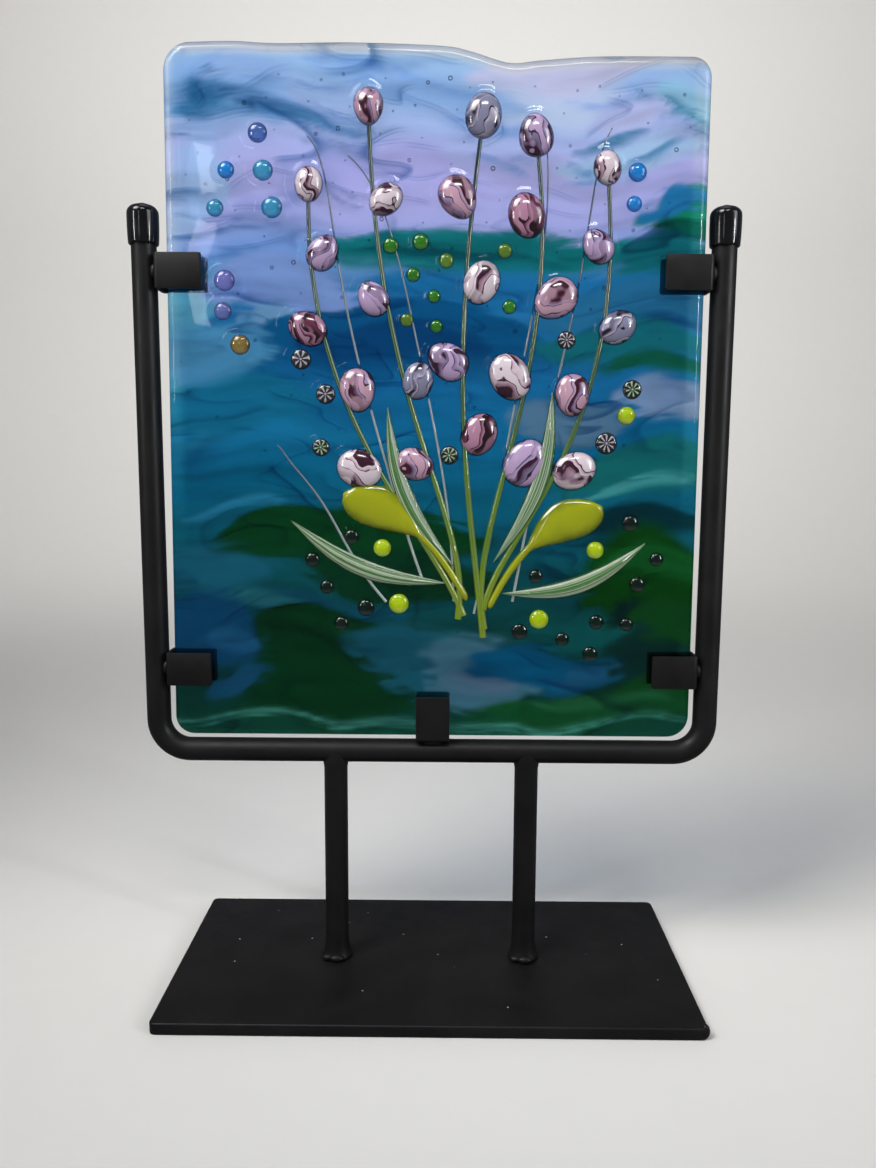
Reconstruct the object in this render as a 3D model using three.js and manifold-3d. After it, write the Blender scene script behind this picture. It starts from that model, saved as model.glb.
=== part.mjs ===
// Fused glass panel on a black metal stand: a rectangular base plate, two round uprights, a bent round
// bar with a soft cap on each end, five channel clips, and the glass panel that they hold.
// Millimetres, +Z up, front towards -Y. The origin is the centre of the base plate's underside.

import * as THREE from 'three';
import { mergeVertices } from 'three/addons/utils/BufferGeometryUtils.js';
import Module from 'manifold-3d';

// Driving dimensions

const GAP = 0.3; // clearance between two pieces that touch

const BASE = { width: 260, depth: 127, thick: 6, corner: 3, edge: 0.9, cornerSteps: 3, edgeSteps: 2 };

const BAR = { diameter: 12, sides: 16 };
const FRAME = { halfWidth: 139.4, bottomZ: 117.8, topZ: 384.2, bend: 16, bendSteps: 7 }; // to the bar's axis
const CAP = { diameter: 15, wall: 1.2, bottomZ: 367.5, topZ: 386.8, shoulderZ: 381.8, segments: 16 };
const CAP_LIP = { in: 0.3, up: 1 }; // the rounding of a cap's lower rim
const CAP_DOME = [
  // share of the outer radius, and height above the shoulder
  [1, 0],
  [0.93, 2.2],
  [0.7, 3.8],
  [0.3, 4.6],
];

const UPRIGHT = { spacing: 98, segments: 16 };
const FOOT = [
  // radius and height of the weld round an upright's foot
  [8, 0],
  [7.8, 1.6],
  [7, 3.6],
  [6.4, 6.5],
  [6, 11],
];
// Lumps of weld metal: half sizes in x, y and z
const WELD = { sides: 8, rings: 6 };
const FOOT_WELD = { size: [3.74, 2.55, 2.04], out: 7.4 };
const SIDE_WELD = { size: [2.11, 2.72, 3.74], y: -3.2, in: 0.4 };
const BOTTOM_WELD = { size: [5.1, 2.72, 2.11], y: -3.2, in: 0.4 };

const CLIP = { plate: 23, height: 16.6, depth: 16, metal: 1.5 };
const CLIP_BEND = { outer: 2, outerSteps: 3, inner: 0.5, innerSteps: 2 };
const CLIP_Z = { upper: 354.5, lower: 161 };
const BOTTOM_CLIP = { x: 0.8, width: 17, height: 23.4 };

// The glass panel: where its edges are at the top, how far each side has run out at the bottom, its
// thickness, and its edges' rounding. The top edge sagged in the kiln, so it follows a smooth line
// through a few heights.
const PANEL = {
  left: -127.5,
  right: 130,
  bottom: 125.9,
  leftFlare: 3.5,
  rightFlare: 1.1,
  thick: 7.5,
  lowerLeftCorner: 9.5,
  lowerRightCorner: 11,
  leftCorner: 13,
  rightCorner: 9.5,
  frontEdge: { in: 5, deep: 4.5 },
  backEdge: { in: 1.5, deep: 1.5 },
  cornerSteps: 5,
  edgeSteps: 3,
  topSteps: 24,
  tilt: 5, // degrees left between the top corners' arcs and the sagged edge
};
const TOP_EDGE = [
  [-114.5, 459.2],
  [-94, 459.6],
  [-74, 458.7],
  [-39, 459.1],
  [2.6, 457.8],
  [17, 455.3],
  [35, 450.3],
  [50, 451.4],
  [78, 453.2],
  [120.5, 453.2],
];

// The raised design: a spray of budding stems with leaves, dots and cane slices fused on the front.
// A stem is a curve through the pull of four points. Each point has a shift from the middle of the
// spray, a spread for every stem outwards, a height above the foot, a drop with the spread's square,
// and a sway that differs from stem to stem.
const SPRAY = { x: 14, foot: 182, stems: 5 };
const STEM = { radius: 1.4, sides: 6, steps: 10 };
const STEM_POINTS = [
  { shift: 8, spread: 4, height: 0, drop: -1.2, sway: 5 },
  { shift: 4, spread: 4, height: 56, drop: 0, sway: 9 },
  { shift: 0, spread: 42, height: 116, drop: 5, sway: 9 },
  { shift: 0, spread: 37, height: 243, drop: 9, sway: 9 },
];
const BUD = { count: 5, half: 11.2, wide: 9.1, rise: 4.8, offset: 7.6, taper: 0.16, lean: 0.62 };
const BUD_START = { even: 0.5, odd: 0.465 }; // how far up its stem the first bud sits
const BUD_CROWDING = 1.25; // above 1, the buds crowd towards the tip
const BUD_SPREAD = { size: 0.12, lean: 0.36 }; // how unlike the buds are
const BUD_TIP = 0.6; // share of its half length that the last bud stands beyond the stem
const BUD_FACETS = { sides: 10, rings: 8 };
const DOT_FACETS = { sides: 8, rings: 4 };
const SLICE_SIDES = 10;
const SINK = 0.1; // share of its rise that a dome is raised by, for a steep rim
const LEAF = { rise: 2.8, edge: 0.45, steps: 9, stalkHalf: 2, stalkEnd: 4, tipHalf: 0.5 };
const LEAF_SWELL = {
  // How far out the blade is widest, and how full it is
  paddle: { out: 1.6, full: 0.65 },
  slender: { out: 1, full: 0.9 },
};
const LEAVES = [
  { base: [18, 196], tip: [-44, 250], half: 11.5, stalk: 0.44, bow: -9 },
  { base: [28, 192], tip: [84, 244], half: 11, stalk: 0.42, bow: 9 },
  { base: [8, 205], tip: [-70, 236], half: 4.6, stalk: 0, bow: 9 },
  { base: [34, 200], tip: [106, 226], half: 4.6, stalk: 0, bow: -9 },
  { base: [12, 212], tip: [-22, 292], half: 4.4, stalk: 0, bow: 9 },
  { base: [30, 215], tip: [58, 300], half: 4.4, stalk: 0, bow: -9 },
];
const DOT_GAP = 1.5;
const DOT_SPREAD = { start: 0.3, size: 0.12 };
// Ground that the dots keep clear of: circles along the stems and leaves, and two on each bud
const GROUND = { stemSteps: 30, stemHalf: 0.8, leafSteps: 12, budShift: 0.3, budShare: 0.45 };
const DOTS = [
  { centre: [-86, 398], spread: 11, count: 5, radius: 4.6, phase: 0.5, rise: 2.6 },
  { centre: [-98, 346], spread: 9, count: 2, radius: 4.8, phase: 2.0, rise: 2.4 },
  { centre: [-92, 318], spread: 5, count: 1, radius: 4.6, phase: 2.0, rise: 2.4 },
  { centre: [98, 396], spread: 9, count: 2, radius: 4.2, phase: 2.0, rise: 2.6 },
  { centre: [10, 345], spread: 8.5, count: 9, radius: 3.6, phase: 0.9, rise: 2.0 },
  { centre: [14, 300], spread: 12, count: 7, radius: 5.0, phase: 0.3, rise: 1.6, flat: true },
  { centre: [20, 262], spread: 17, count: 5, radius: 5.0, phase: 0.2, rise: 3.0 },
  { centre: [70, 212], spread: 9, count: 9, radius: 3.9, phase: 0, rise: 2.0 },
  { centre: [-34, 206], spread: 9, count: 5, radius: 3.9, phase: 0, rise: 2.0 },
];

// Finishes

const blackCoat = new THREE.MeshStandardMaterial({ color: 0x1b1b1d, roughness: 0.55, metalness: 0.3 });
const blackVinyl = new THREE.MeshStandardMaterial({ color: 0x0a0a0b, roughness: 0.18, metalness: 0 });
const artGlass = new THREE.MeshStandardMaterial({
  color: 0x2a6f9e,
  roughness: 0.06,
  metalness: 0,
  transparent: true,
  opacity: 0.8,
});

// Solids: a closed three.js geometry becomes a solid that can be cut and joined, and comes back

const wasm = await Module();
wasm.setup();

const MERGE_WITHIN = 1e-4; // vertices this close are one vertex

function solidOf(geometry) {
  const bare = geometry.index ? geometry.toNonIndexed() : geometry.clone();
  bare.deleteAttribute('normal');
  bare.deleteAttribute('uv');
  const merged = mergeVertices(bare, MERGE_WITHIN);
  return new wasm.Manifold(
    new wasm.Mesh({
      numProp: 3,
      vertProperties: new Float32Array(merged.attributes.position.array),
      triVerts: new Uint32Array(merged.index.array),
    }),
  );
}

function geometryOf(solid) {
  const mesh = solid.getMesh();
  const geometry = new THREE.BufferGeometry();
  geometry.setAttribute('position', new THREE.BufferAttribute(new Float32Array(mesh.vertProperties), 3));
  geometry.setIndex(new THREE.BufferAttribute(new Uint32Array(mesh.triVerts), 1));
  geometry.computeVertexNormals();
  return geometry;
}

function meshOf(name, solid, material) {
  const mesh = new THREE.Mesh(geometryOf(solid), material);
  mesh.name = name;
  return mesh;
}

// Points of an arc about a centre, from one angle to the next, in degrees
function arc(x, y, radius, from, to, steps) {
  return Array.from({ length: steps + 1 }, (_, i) => {
    const angle = THREE.MathUtils.degToRad(from + ((to - from) * i) / steps);
    return new THREE.Vector2(x + radius * Math.cos(angle), y + radius * Math.sin(angle));
  });
}

// Base plate

function basePlate() {
  const { corner, cornerSteps: steps } = BASE;
  const x = BASE.width / 2 - corner;
  const y = BASE.depth / 2 - corner;
  const outline = new THREE.Shape([
    ...arc(x, y, corner, 0, 90, steps),
    ...arc(-x, y, corner, 90, 180, steps),
    ...arc(-x, -y, corner, 180, 270, steps),
    ...arc(x, -y, corner, 270, 360, steps),
  ]);
  const geometry = new THREE.ExtrudeGeometry(outline, {
    depth: BASE.thick - 2 * BASE.edge,
    bevelThickness: BASE.edge,
    bevelSize: BASE.edge,
    bevelOffset: -BASE.edge,
    bevelSegments: BASE.edgeSteps,
  });
  geometry.translate(0, 0, BASE.edge);
  return meshOf('base_plate', solidOf(geometry), blackCoat);
}

// The bent bar. Its path has its steps where they are needed: close together in the two bends,
// and none along the straight stretches.

class BentBarPath extends THREE.Curve {
  constructor() {
    super();
    const { halfWidth, bottomZ, topZ, bend, bendSteps } = FRAME;
    const side = halfWidth - bend;
    const low = bottomZ + bend;
    this.stations = [
      new THREE.Vector2(-halfWidth, topZ),
      ...arc(-side, low, bend, 180, 270, bendSteps),
      ...arc(side, low, bend, 270, 360, bendSteps),
      new THREE.Vector2(halfWidth, topZ),
    ];
    this.headings = [
      -90,
      ...this.stations.slice(1, bendSteps + 2).map((_, i) => -90 + (90 * i) / bendSteps),
      ...this.stations.slice(1, bendSteps + 2).map((_, i) => (90 * i) / bendSteps),
      90,
    ];
  }
  station(u) {
    return Math.round(u * (this.stations.length - 1));
  }
  getPointAt(u) {
    const point = this.stations[this.station(u)];
    return new THREE.Vector3(point.x, 0, point.y);
  }
  getTangentAt(u) {
    const heading = THREE.MathUtils.degToRad(this.headings[this.station(u)]);
    return new THREE.Vector3(Math.cos(heading), 0, Math.sin(heading));
  }
}

function bentBar(radius) {
  const path = new BentBarPath();
  const section = new THREE.Shape(arc(0, 0, radius, 0, 360, BAR.sides).slice(0, BAR.sides));
  return solidOf(
    new THREE.ExtrudeGeometry(section, { steps: path.stations.length - 1, extrudePath: path }),
  );
}

// A lathe turned about the vertical axis, from radius and height pairs
function turned(profile, segments) {
  const points = profile.map(([radius, height]) => new THREE.Vector2(radius, height));
  return new THREE.LatheGeometry(points, segments).rotateX(Math.PI / 2);
}

function endCap(name, x) {
  const outer = CAP.diameter / 2;
  const inner = outer - CAP.wall;
  const roof = FRAME.topZ + GAP;
  const profile = [
    [0, roof],
    [inner, roof],
    [inner, CAP.bottomZ],
    [outer - CAP_LIP.in, CAP.bottomZ],
    [outer, CAP.bottomZ + CAP_LIP.up],
    ...CAP_DOME.map(([share, height]) => [outer * share, CAP.shoulderZ + height]),
    [0, CAP.topZ],
  ];
  const geometry = turned(profile, CAP.segments);
  geometry.translate(x, 0, 0);
  return meshOf(name, solidOf(geometry), blackVinyl);
}

// A rounded lump of weld metal
function weld(x, y, z, size) {
  const lump = new THREE.SphereGeometry(1, WELD.sides, WELD.rings);
  lump.scale(...size);
  lump.translate(x, y, z);
  return solidOf(lump);
}

// Uprights: cut to the curve of the bar above them, and welded round the foot with a lump in front

function upright(name, x, barSpace) {
  const foot = BASE.thick + GAP;
  const profile = [
    [0, foot],
    ...FOOT.map(([radius, height]) => [radius, foot + height]),
    [BAR.diameter / 2, FRAME.bottomZ],
    [0, FRAME.bottomZ],
  ];
  const shaft = turned(profile, UPRIGHT.segments);
  shaft.translate(x, 0, 0);
  const lump = weld(x, -FOOT_WELD.out, foot + FOOT_WELD.size[2], FOOT_WELD.size);
  return meshOf(name, solidOf(shaft).add(lump).subtract(barSpace), blackCoat);
}

// Clips: a strip folded into a channel. The outline is drawn with its back at x = 0 and its mouth
// towards +x, and is as deep as the channel in y.

function channelOutline(reach) {
  const half = CLIP.depth / 2;
  const { metal } = CLIP;
  const { outer, outerSteps, inner, innerSteps } = CLIP_BEND;
  return new THREE.Shape([
    new THREE.Vector2(reach, -half),
    new THREE.Vector2(reach, -half + metal),
    ...arc(metal + inner, -half + metal + inner, inner, 270, 180, innerSteps),
    ...arc(metal + inner, half - metal - inner, inner, 180, 90, innerSteps),
    new THREE.Vector2(reach, half - metal),
    new THREE.Vector2(reach, half),
    ...arc(outer, half - outer, outer, 90, 180, outerSteps),
    ...arc(outer, -half + outer, outer, 180, 270, outerSteps),
  ]);
}

function channel(reach, length) {
  const geometry = new THREE.ExtrudeGeometry(channelOutline(reach), { depth: length, bevelEnabled: false });
  return geometry.translate(0, 0, -length / 2);
}

function sideClip(name, side, z, barSpace) {
  const back = FRAME.halfWidth - BAR.diameter / 2 - GAP;
  const geometry = channel(CLIP.plate, CLIP.height);
  if (side > 0) geometry.rotateZ(Math.PI);
  geometry.translate(side * back, 0, z);
  const lump = weld(side * (back + SIDE_WELD.in), SIDE_WELD.y, z, SIDE_WELD.size);
  return meshOf(name, solidOf(geometry).add(lump).subtract(barSpace), blackCoat);
}

function bottomClip(barSpace) {
  const geometry = channel(BOTTOM_CLIP.height, BOTTOM_CLIP.width);
  geometry.rotateY(-Math.PI / 2);
  const floor = FRAME.bottomZ + BAR.diameter / 2 + GAP;
  geometry.translate(BOTTOM_CLIP.x, 0, floor);
  const lump = weld(BOTTOM_CLIP.x, BOTTOM_WELD.y, floor - BOTTOM_WELD.in, BOTTOM_WELD.size);
  return meshOf('clip_bottom', solidOf(geometry).add(lump).subtract(barSpace), blackCoat);
}

// Glass sheet: two extrusions of one outline, one with the soft front edge and one with the
// crisper back edge, and what they share

// A point of the outline moved out sideways, the more the lower it is
function flared(point) {
  const { left, right, bottom, leftFlare, rightFlare } = PANEL;
  const drop = (TOP_EDGE[0][1] - point.y) / (TOP_EDGE[0][1] - bottom);
  const out = point.x < 0 ? (-leftFlare * point.x) / left : (rightFlare * point.x) / right;
  return new THREE.Vector2(point.x + out * drop, point.y);
}

function panelOutline() {
  const { left, right, bottom, cornerSteps: steps, tilt } = PANEL;
  const wave = new THREE.SplineCurve(TOP_EDGE.map(([x, z]) => new THREE.Vector2(x, z)));
  const [leftX, leftZ] = TOP_EDGE[0];
  const [rightX, rightZ] = TOP_EDGE[TOP_EDGE.length - 1];
  const topLeft = PANEL.leftCorner;
  const topRight = PANEL.rightCorner;
  const lowLeft = PANEL.lowerLeftCorner;
  const lowRight = PANEL.lowerRightCorner;
  const outline = [
    ...arc(left + lowLeft, bottom + lowLeft, lowLeft, 180, 270, steps),
    ...arc(right - lowRight, bottom + lowRight, lowRight, 270, 360, steps),
    ...arc(rightX, rightZ - topRight, topRight, 0, 90 - tilt, steps - 1),
    ...wave.getPoints(PANEL.topSteps).reverse(),
    ...arc(leftX, leftZ - topLeft, topLeft, 90 + tilt, 180, steps),
  ];
  return new THREE.Shape(outline.map(flared));
}

function sheetSlab(outline, edge) {
  return new THREE.ExtrudeGeometry(outline, {
    depth: 2 * PANEL.thick,
    bevelThickness: edge.deep,
    bevelSize: edge.in,
    bevelOffset: -edge.in,
    bevelSegments: PANEL.edgeSteps,
  });
}

function glassSheet() {
  const outline = panelOutline();
  const { frontEdge, backEdge, thick } = PANEL;
  const front = sheetSlab(outline, frontEdge);
  front.translate(0, 0, thick / 2 - frontEdge.deep - 2 * thick);
  const back = sheetSlab(outline, backEdge);
  back.translate(0, 0, -thick / 2 + backEdge.deep);
  return solidOf(front.rotateX(Math.PI / 2)).intersect(solidOf(back.rotateX(Math.PI / 2)));
}

// Raised design. Turns by the golden angle give each bud and dot its own place, size and lean.

const GOLDEN = Math.PI * (3 - Math.sqrt(5));
const FACE = -PANEL.thick / 2;
const WOBBLE = { pace: 1.7, start: 0.4 };

// A number from -1 to 1 that differs from one n to the next without a pattern that shows
function wobble(n) {
  return Math.sin(n * GOLDEN * WOBBLE.pace + WOBBLE.start);
}

// Which stem from the middle one, counted from the left: -2, -1, 0, 1, 2
function sideOf(k) {
  return k - (SPRAY.stems - 1) / 2;
}

function stemCurve(k) {
  const side = sideOf(k);
  const points = STEM_POINTS.map(({ shift, spread, height, drop, sway }, i) => {
    const x = SPRAY.x + shift + spread * side + sway * wobble(k + i);
    const z = SPRAY.foot + height - drop * side * side + sway * wobble(2 * k + i);
    return new THREE.Vector3(x, FACE, z);
  });
  return new THREE.CubicBezierCurve3(...points);
}

function budPlaces() {
  const places = [];
  for (let k = 0; k < SPRAY.stems; k++) {
    const curve = stemCurve(k);
    const start = k % 2 ? BUD_START.odd : BUD_START.even;
    for (let i = 0; i < BUD.count; i++) {
      const along = i / (BUD.count - 1);
      const t = start + (1 - start) * (1 - (1 - along) ** BUD_CROWDING);
      const point = curve.getPoint(t);
      const run = curve.getTangent(t);
      const last = i === BUD.count - 1;
      const way = last ? 0 : (i % 2 ? -1 : 1) * (sideOf(k) < 0 ? -1 : 1);
      const n = places.length;
      const size = 1 - BUD.taper * along + BUD_SPREAD.size * wobble(3 * n);
      const lean = way * (BUD.lean + BUD_SPREAD.lean * wobble(n));
      const out = way * BUD.offset * size;
      const up = last ? BUD.half * size * BUD_TIP : 0;
      places.push({
        x: point.x + out * run.z + up * run.x,
        z: point.z - out * run.x + up * run.z,
        half: BUD.half * size,
        wide: BUD.wide * size,
        angle: Math.atan2(run.z, run.x) - lean,
      });
    }
  }
  return places;
}

// Middle line and half width of a leaf, at a fraction of its length
function leafAt(leaf, t) {
  const [x0, z0] = leaf.base;
  const dx = leaf.tip[0] - x0;
  const dz = leaf.tip[1] - z0;
  const length = Math.hypot(dx, dz);
  const bow = leaf.bow * Math.sin(Math.PI * t);
  const blade = Math.max(0, (t - leaf.stalk) / (1 - leaf.stalk));
  const stalk = leaf.stalk > 0 ? LEAF.stalkHalf * (1 - blade ** LEAF.stalkEnd) : 0;
  const { out, full } = leaf.stalk > 0 ? LEAF_SWELL.paddle : LEAF_SWELL.slender;
  const swell = leaf.half * Math.sin(Math.PI * blade ** out) ** full;
  return {
    x: x0 + dx * t - (bow * dz) / length,
    z: z0 + dz * t + (bow * dx) / length,
    across: [-dz / length, dx / length],
    half: Math.max(LEAF.tipHalf, stalk, swell),
  };
}

function leafRelief(leaf) {
  const left = [];
  const right = [];
  for (let i = 0; i <= LEAF.steps; i++) {
    const { x, z, across, half } = leafAt(leaf, i / LEAF.steps);
    left.push(new THREE.Vector2(x + across[0] * half, z + across[1] * half));
    right.push(new THREE.Vector2(x - across[0] * half, z - across[1] * half));
  }
  const geometry = new THREE.ExtrudeGeometry(new THREE.Shape([...left, ...right.reverse()]), {
    depth: LEAF.rise,
    bevelThickness: LEAF.rise / 2,
    bevelSize: LEAF.edge,
    bevelOffset: -LEAF.edge,
    bevelSegments: 1,
  });
  geometry.rotateX(Math.PI / 2);
  return solidOf(geometry.translate(0, FACE + LEAF.rise / 2, 0));
}

function stemRelief(curve) {
  const section = new THREE.Shape(arc(0, 0, STEM.radius, 0, 360, STEM.sides).slice(0, STEM.sides));
  return solidOf(new THREE.ExtrudeGeometry(section, { steps: STEM.steps, extrudePath: curve }));
}

function domeRelief({ x, z, half, wide, rise, angle }, { sides, rings }) {
  const dome = new THREE.SphereGeometry(1, sides, rings);
  dome.scale(half, rise, wide);
  dome.rotateY(-angle);
  return solidOf(dome.translate(x, FACE + SINK * rise, z));
}

function sliceRelief({ x, z, radius, rise }) {
  const slice = new THREE.CylinderGeometry(radius, radius, 2 * rise, SLICE_SIDES);
  return solidOf(slice.translate(x, FACE, z));
}

// Ground already taken by the stems, leaves and buds
function takenGround(stems, buds) {
  const taken = [];
  for (const curve of stems) {
    for (let i = 0; i <= GROUND.stemSteps; i++) {
      const point = curve.getPoint(i / GROUND.stemSteps);
      taken.push({ x: point.x, z: point.z, radius: GROUND.stemHalf });
    }
  }
  for (const leaf of LEAVES) {
    for (let i = 0; i <= GROUND.leafSteps; i++) {
      const { x, z, half } = leafAt(leaf, i / GROUND.leafSteps);
      taken.push({ x, z, radius: half });
    }
  }
  for (const { x, z, half, wide, angle } of buds) {
    const radius = GROUND.budShare * (half + wide);
    for (const way of [-1, 1]) {
      const shift = way * GROUND.budShift * half;
      taken.push({ x: x + shift * Math.cos(angle), z: z + shift * Math.sin(angle), radius });
    }
  }
  return taken;
}

// Dots of one group, out along a spiral, each where nothing is yet
function scatterDots(group, taken) {
  const placed = [];
  for (let step = 0; placed.length < group.count; step++) {
    const reach = group.spread * Math.sqrt(step + DOT_SPREAD.start);
    const angle = group.phase + step * GOLDEN;
    const x = group.centre[0] + reach * Math.cos(angle);
    const z = group.centre[1] + reach * Math.sin(angle);
    const radius = group.radius * (1 + DOT_SPREAD.size * wobble(step));
    if (taken.every((other) => Math.hypot(x - other.x, z - other.z) > radius + other.radius + DOT_GAP)) {
      const dot = { x, z, radius, rise: group.rise };
      taken.push(dot);
      placed.push(dot);
    }
  }
  return placed;
}

function glassPanel() {
  const stems = Array.from({ length: SPRAY.stems }, (_, k) => stemCurve(k));
  const buds = budPlaces();
  const taken = takenGround(stems, buds);
  const relief = [
    ...stems.map((curve) => stemRelief(curve)),
    ...LEAVES.map((leaf) => leafRelief(leaf)),
    ...buds.map((bud) => domeRelief({ ...bud, rise: BUD.rise }, BUD_FACETS)),
  ];
  for (const group of DOTS) {
    for (const dot of scatterDots(group, taken)) {
      const round = { ...dot, half: dot.radius, wide: dot.radius, angle: 0 };
      relief.push(group.flat ? sliceRelief(dot) : domeRelief(round, DOT_FACETS));
    }
  }
  return meshOf('glass_panel', wasm.Manifold.union([glassSheet(), ...relief]), artGlass);
}

// The whole

const stand = new THREE.Group();
stand.add(basePlate());
stand.add(meshOf('frame_bar', bentBar(BAR.diameter / 2), blackCoat));
const barSpace = bentBar(BAR.diameter / 2 + GAP);
for (const [word, side] of [['left', -1], ['right', 1]]) {
  stand.add(upright(`upright_${word}`, (side * UPRIGHT.spacing) / 2, barSpace));
  stand.add(endCap(`end_cap_${word}`, side * FRAME.halfWidth));
  stand.add(sideClip(`clip_upper_${word}`, side, CLIP_Z.upper, barSpace));
  stand.add(sideClip(`clip_lower_${word}`, side, CLIP_Z.lower, barSpace));
}
stand.add(bottomClip(barSpace));

const panelOnStand = new THREE.Group();
panelOnStand.add(stand);
panelOnStand.add(glassPanel());

export default panelOnStand;
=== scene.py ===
"""Fused glass panel on a black metal stand: the finish of every piece, on a pale studio floor.

Metres, +Z up, front towards -Y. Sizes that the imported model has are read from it, and the small ones
are written in millimetres times MM.
"""

import functools
import math

import bmesh
import bpy
import numpy as np
from bpy.props import FloatProperty, FloatVectorProperty, IntProperty, PointerProperty
from mathutils import Matrix, Vector


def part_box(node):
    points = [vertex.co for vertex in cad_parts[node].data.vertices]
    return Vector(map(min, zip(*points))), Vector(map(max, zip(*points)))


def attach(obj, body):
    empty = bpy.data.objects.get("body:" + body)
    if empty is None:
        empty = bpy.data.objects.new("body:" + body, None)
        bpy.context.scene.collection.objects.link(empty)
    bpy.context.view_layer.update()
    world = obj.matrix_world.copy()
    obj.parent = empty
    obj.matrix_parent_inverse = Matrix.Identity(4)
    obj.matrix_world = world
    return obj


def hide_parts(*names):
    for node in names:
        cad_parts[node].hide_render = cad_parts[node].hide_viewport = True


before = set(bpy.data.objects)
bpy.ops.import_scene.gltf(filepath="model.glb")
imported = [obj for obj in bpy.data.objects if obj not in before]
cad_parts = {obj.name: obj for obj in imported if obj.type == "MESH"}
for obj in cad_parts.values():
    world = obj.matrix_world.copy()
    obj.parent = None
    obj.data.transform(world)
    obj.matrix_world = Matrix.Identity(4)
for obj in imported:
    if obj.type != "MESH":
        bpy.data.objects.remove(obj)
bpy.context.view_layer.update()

bl_info = {
    "name": "Fused glass panel on a stand",
    "version": (1, 0, 0),
    "blender": (4, 5, 0),
    "location": "View3D > Sidebar > Glass panel",
    "description": "Models a fused glass panel, its metal stand and the studio round them",
    "category": "Object",
}

MM = 0.001
FRAME_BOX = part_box("frame_bar")
BASE_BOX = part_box("base_plate")
PANEL_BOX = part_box("glass_panel")
CAP_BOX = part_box("end_cap_right")
FOOT_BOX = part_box("upright_right")

BAR_RADIUS = FRAME_BOX[1].y
BAR_HALF = FRAME_BOX[1].x - BAR_RADIUS
BAR_LOW = FRAME_BOX[0].z + BAR_RADIUS
GLASS_BACK = PANEL_BOX[1].y

SIDES = {"left": -1, "right": 1}


def length(name, description, millimetres):
    """A size that a user may change, given in millimetres and held in metres."""
    size = millimetres * MM
    return FloatProperty(name=name, description=description, default=size, min=0, unit="LENGTH", subtype="DISTANCE")


def linear(red, green, blue):
    """A colour of 0 to 255 as the eye reads it, as the light values that a shader takes."""
    values = np.array([red, green, blue]) / 255
    return tuple(np.where(values <= 0.04045, values / 12.92, ((values + 0.055) / 1.055) ** 2.4))


def colour(name, description, red, green, blue):
    """A colour that a user may change."""
    shade = linear(red, green, blue)
    return FloatVectorProperty(name=name, description=description, default=shade, min=0, max=1, subtype="COLOR")


class StandSettings(bpy.types.PropertyGroup):
    """Sizes and colours of the metal stand"""

    bend: length("Bend", "Radius of the bar's two bends, to its axis", 16)
    corner: length("Base corner", "Rounding of the base plate's corners", 3)
    edge: length("Base edge", "Rounding of the base plate's edges", 0.9)
    strip: length("Strip", "Thickness of the strip that the clips are folded from", 1.5)
    fold: length("Fold", "Outer radius of a clip's folds", 2)
    cap_wall: length("Cap wall", "Thickness of the soft end caps", 1.2)
    coat: colour("Powder coat", "Colour of the black coat", 18, 17, 17)
    vinyl: colour("Vinyl", "Colour of the end caps", 8, 8, 9)


class PanelSettings(bpy.types.PropertyGroup):
    """Sizes and colours of the fused glass"""

    thick: length("Thickness", "Thickness of the glass sheet", 7.5)
    soft_edge: length("Soft edge", "How far in the front edge's rounding starts", 5)
    soft_depth: length("Soft depth", "How deep the front edge's rounding goes", 4.5)
    back_edge: length("Back edge", "Rounding of the back edge", 1.5)
    cell: length("Cell", "Width of one cell of the front surface", 1.2)
    wave: length("Wave", "Height of the sheet's slow waves", 0.2)
    bubbles: IntProperty(name="Bubbles", description="Air bubbles sealed in the sheet", default=170, min=0)


class StageSettings(bpy.types.PropertyGroup):
    """The studio"""

    reach: FloatProperty(name="Reach", description="Radius of the round floor", default=2.6, unit="LENGTH")
    lens: FloatProperty(name="Lens", description="Focal length in millimetres", default=28.99, min=1)
    paper: colour("Paper", "Colour of the floor and backdrop", 232, 230, 226)
    world: colour("Room", "Colour of the room's own light", 100, 102, 108)


# Modelling helpers


def fresh():
    """Leave nothing selected, before a primitive is added."""
    bpy.ops.object.select_all(action="DESELECT")


def only(piece):
    """Select one piece alone and make it the active one."""
    fresh()
    piece.select_set(True)
    bpy.context.view_layer.objects.active = piece


def place_in_mesh():
    """Put the active piece's place, turn and scale in its mesh."""
    bpy.ops.object.transform_apply(location=True, rotation=True, scale=True)


def named(name):
    """Name the primitive that was just added, and put its place in its mesh."""
    piece = bpy.context.active_object
    piece.name = piece.data.name = name
    place_in_mesh()
    return piece


def edit(piece):
    only(piece)
    bpy.ops.object.mode_set(mode="EDIT")


def leave():
    bpy.ops.object.mode_set(mode="OBJECT")


def pick(kind, test):
    """In edit mode, select the verts, edges or faces that pass a test, and nothing else."""
    bpy.ops.mesh.select_mode(type={"verts": "VERT", "edges": "EDGE", "faces": "FACE"}[kind])
    bpy.ops.mesh.select_all(action="DESELECT")
    data = bpy.context.edit_object.data
    mesh = bmesh.from_edit_mesh(data)
    for part in getattr(mesh, kind):
        if test(part):
            part.select_set(True)
    mesh.select_flush_mode()
    bmesh.update_edit_mesh(data)


def pick_all():
    bpy.ops.mesh.select_all(action="SELECT")


def face_out():
    """In edit mode, turn every face outwards."""
    pick_all()
    bpy.ops.mesh.normals_make_consistent(inside=False)


def close_up():
    """In edit mode, merge doubles, close the open ends, turn every face outwards, and leave edit mode."""
    pick_all()
    bpy.ops.mesh.remove_doubles(threshold=0.001 * MM)
    bpy.ops.mesh.fill_holes(sides=0)
    face_out()
    leave()


def draw_out(move):
    """In edit mode, extrude what is selected along a move."""
    bpy.ops.mesh.extrude_region_move(TRANSFORM_OT_translate={"value": move})


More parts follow.
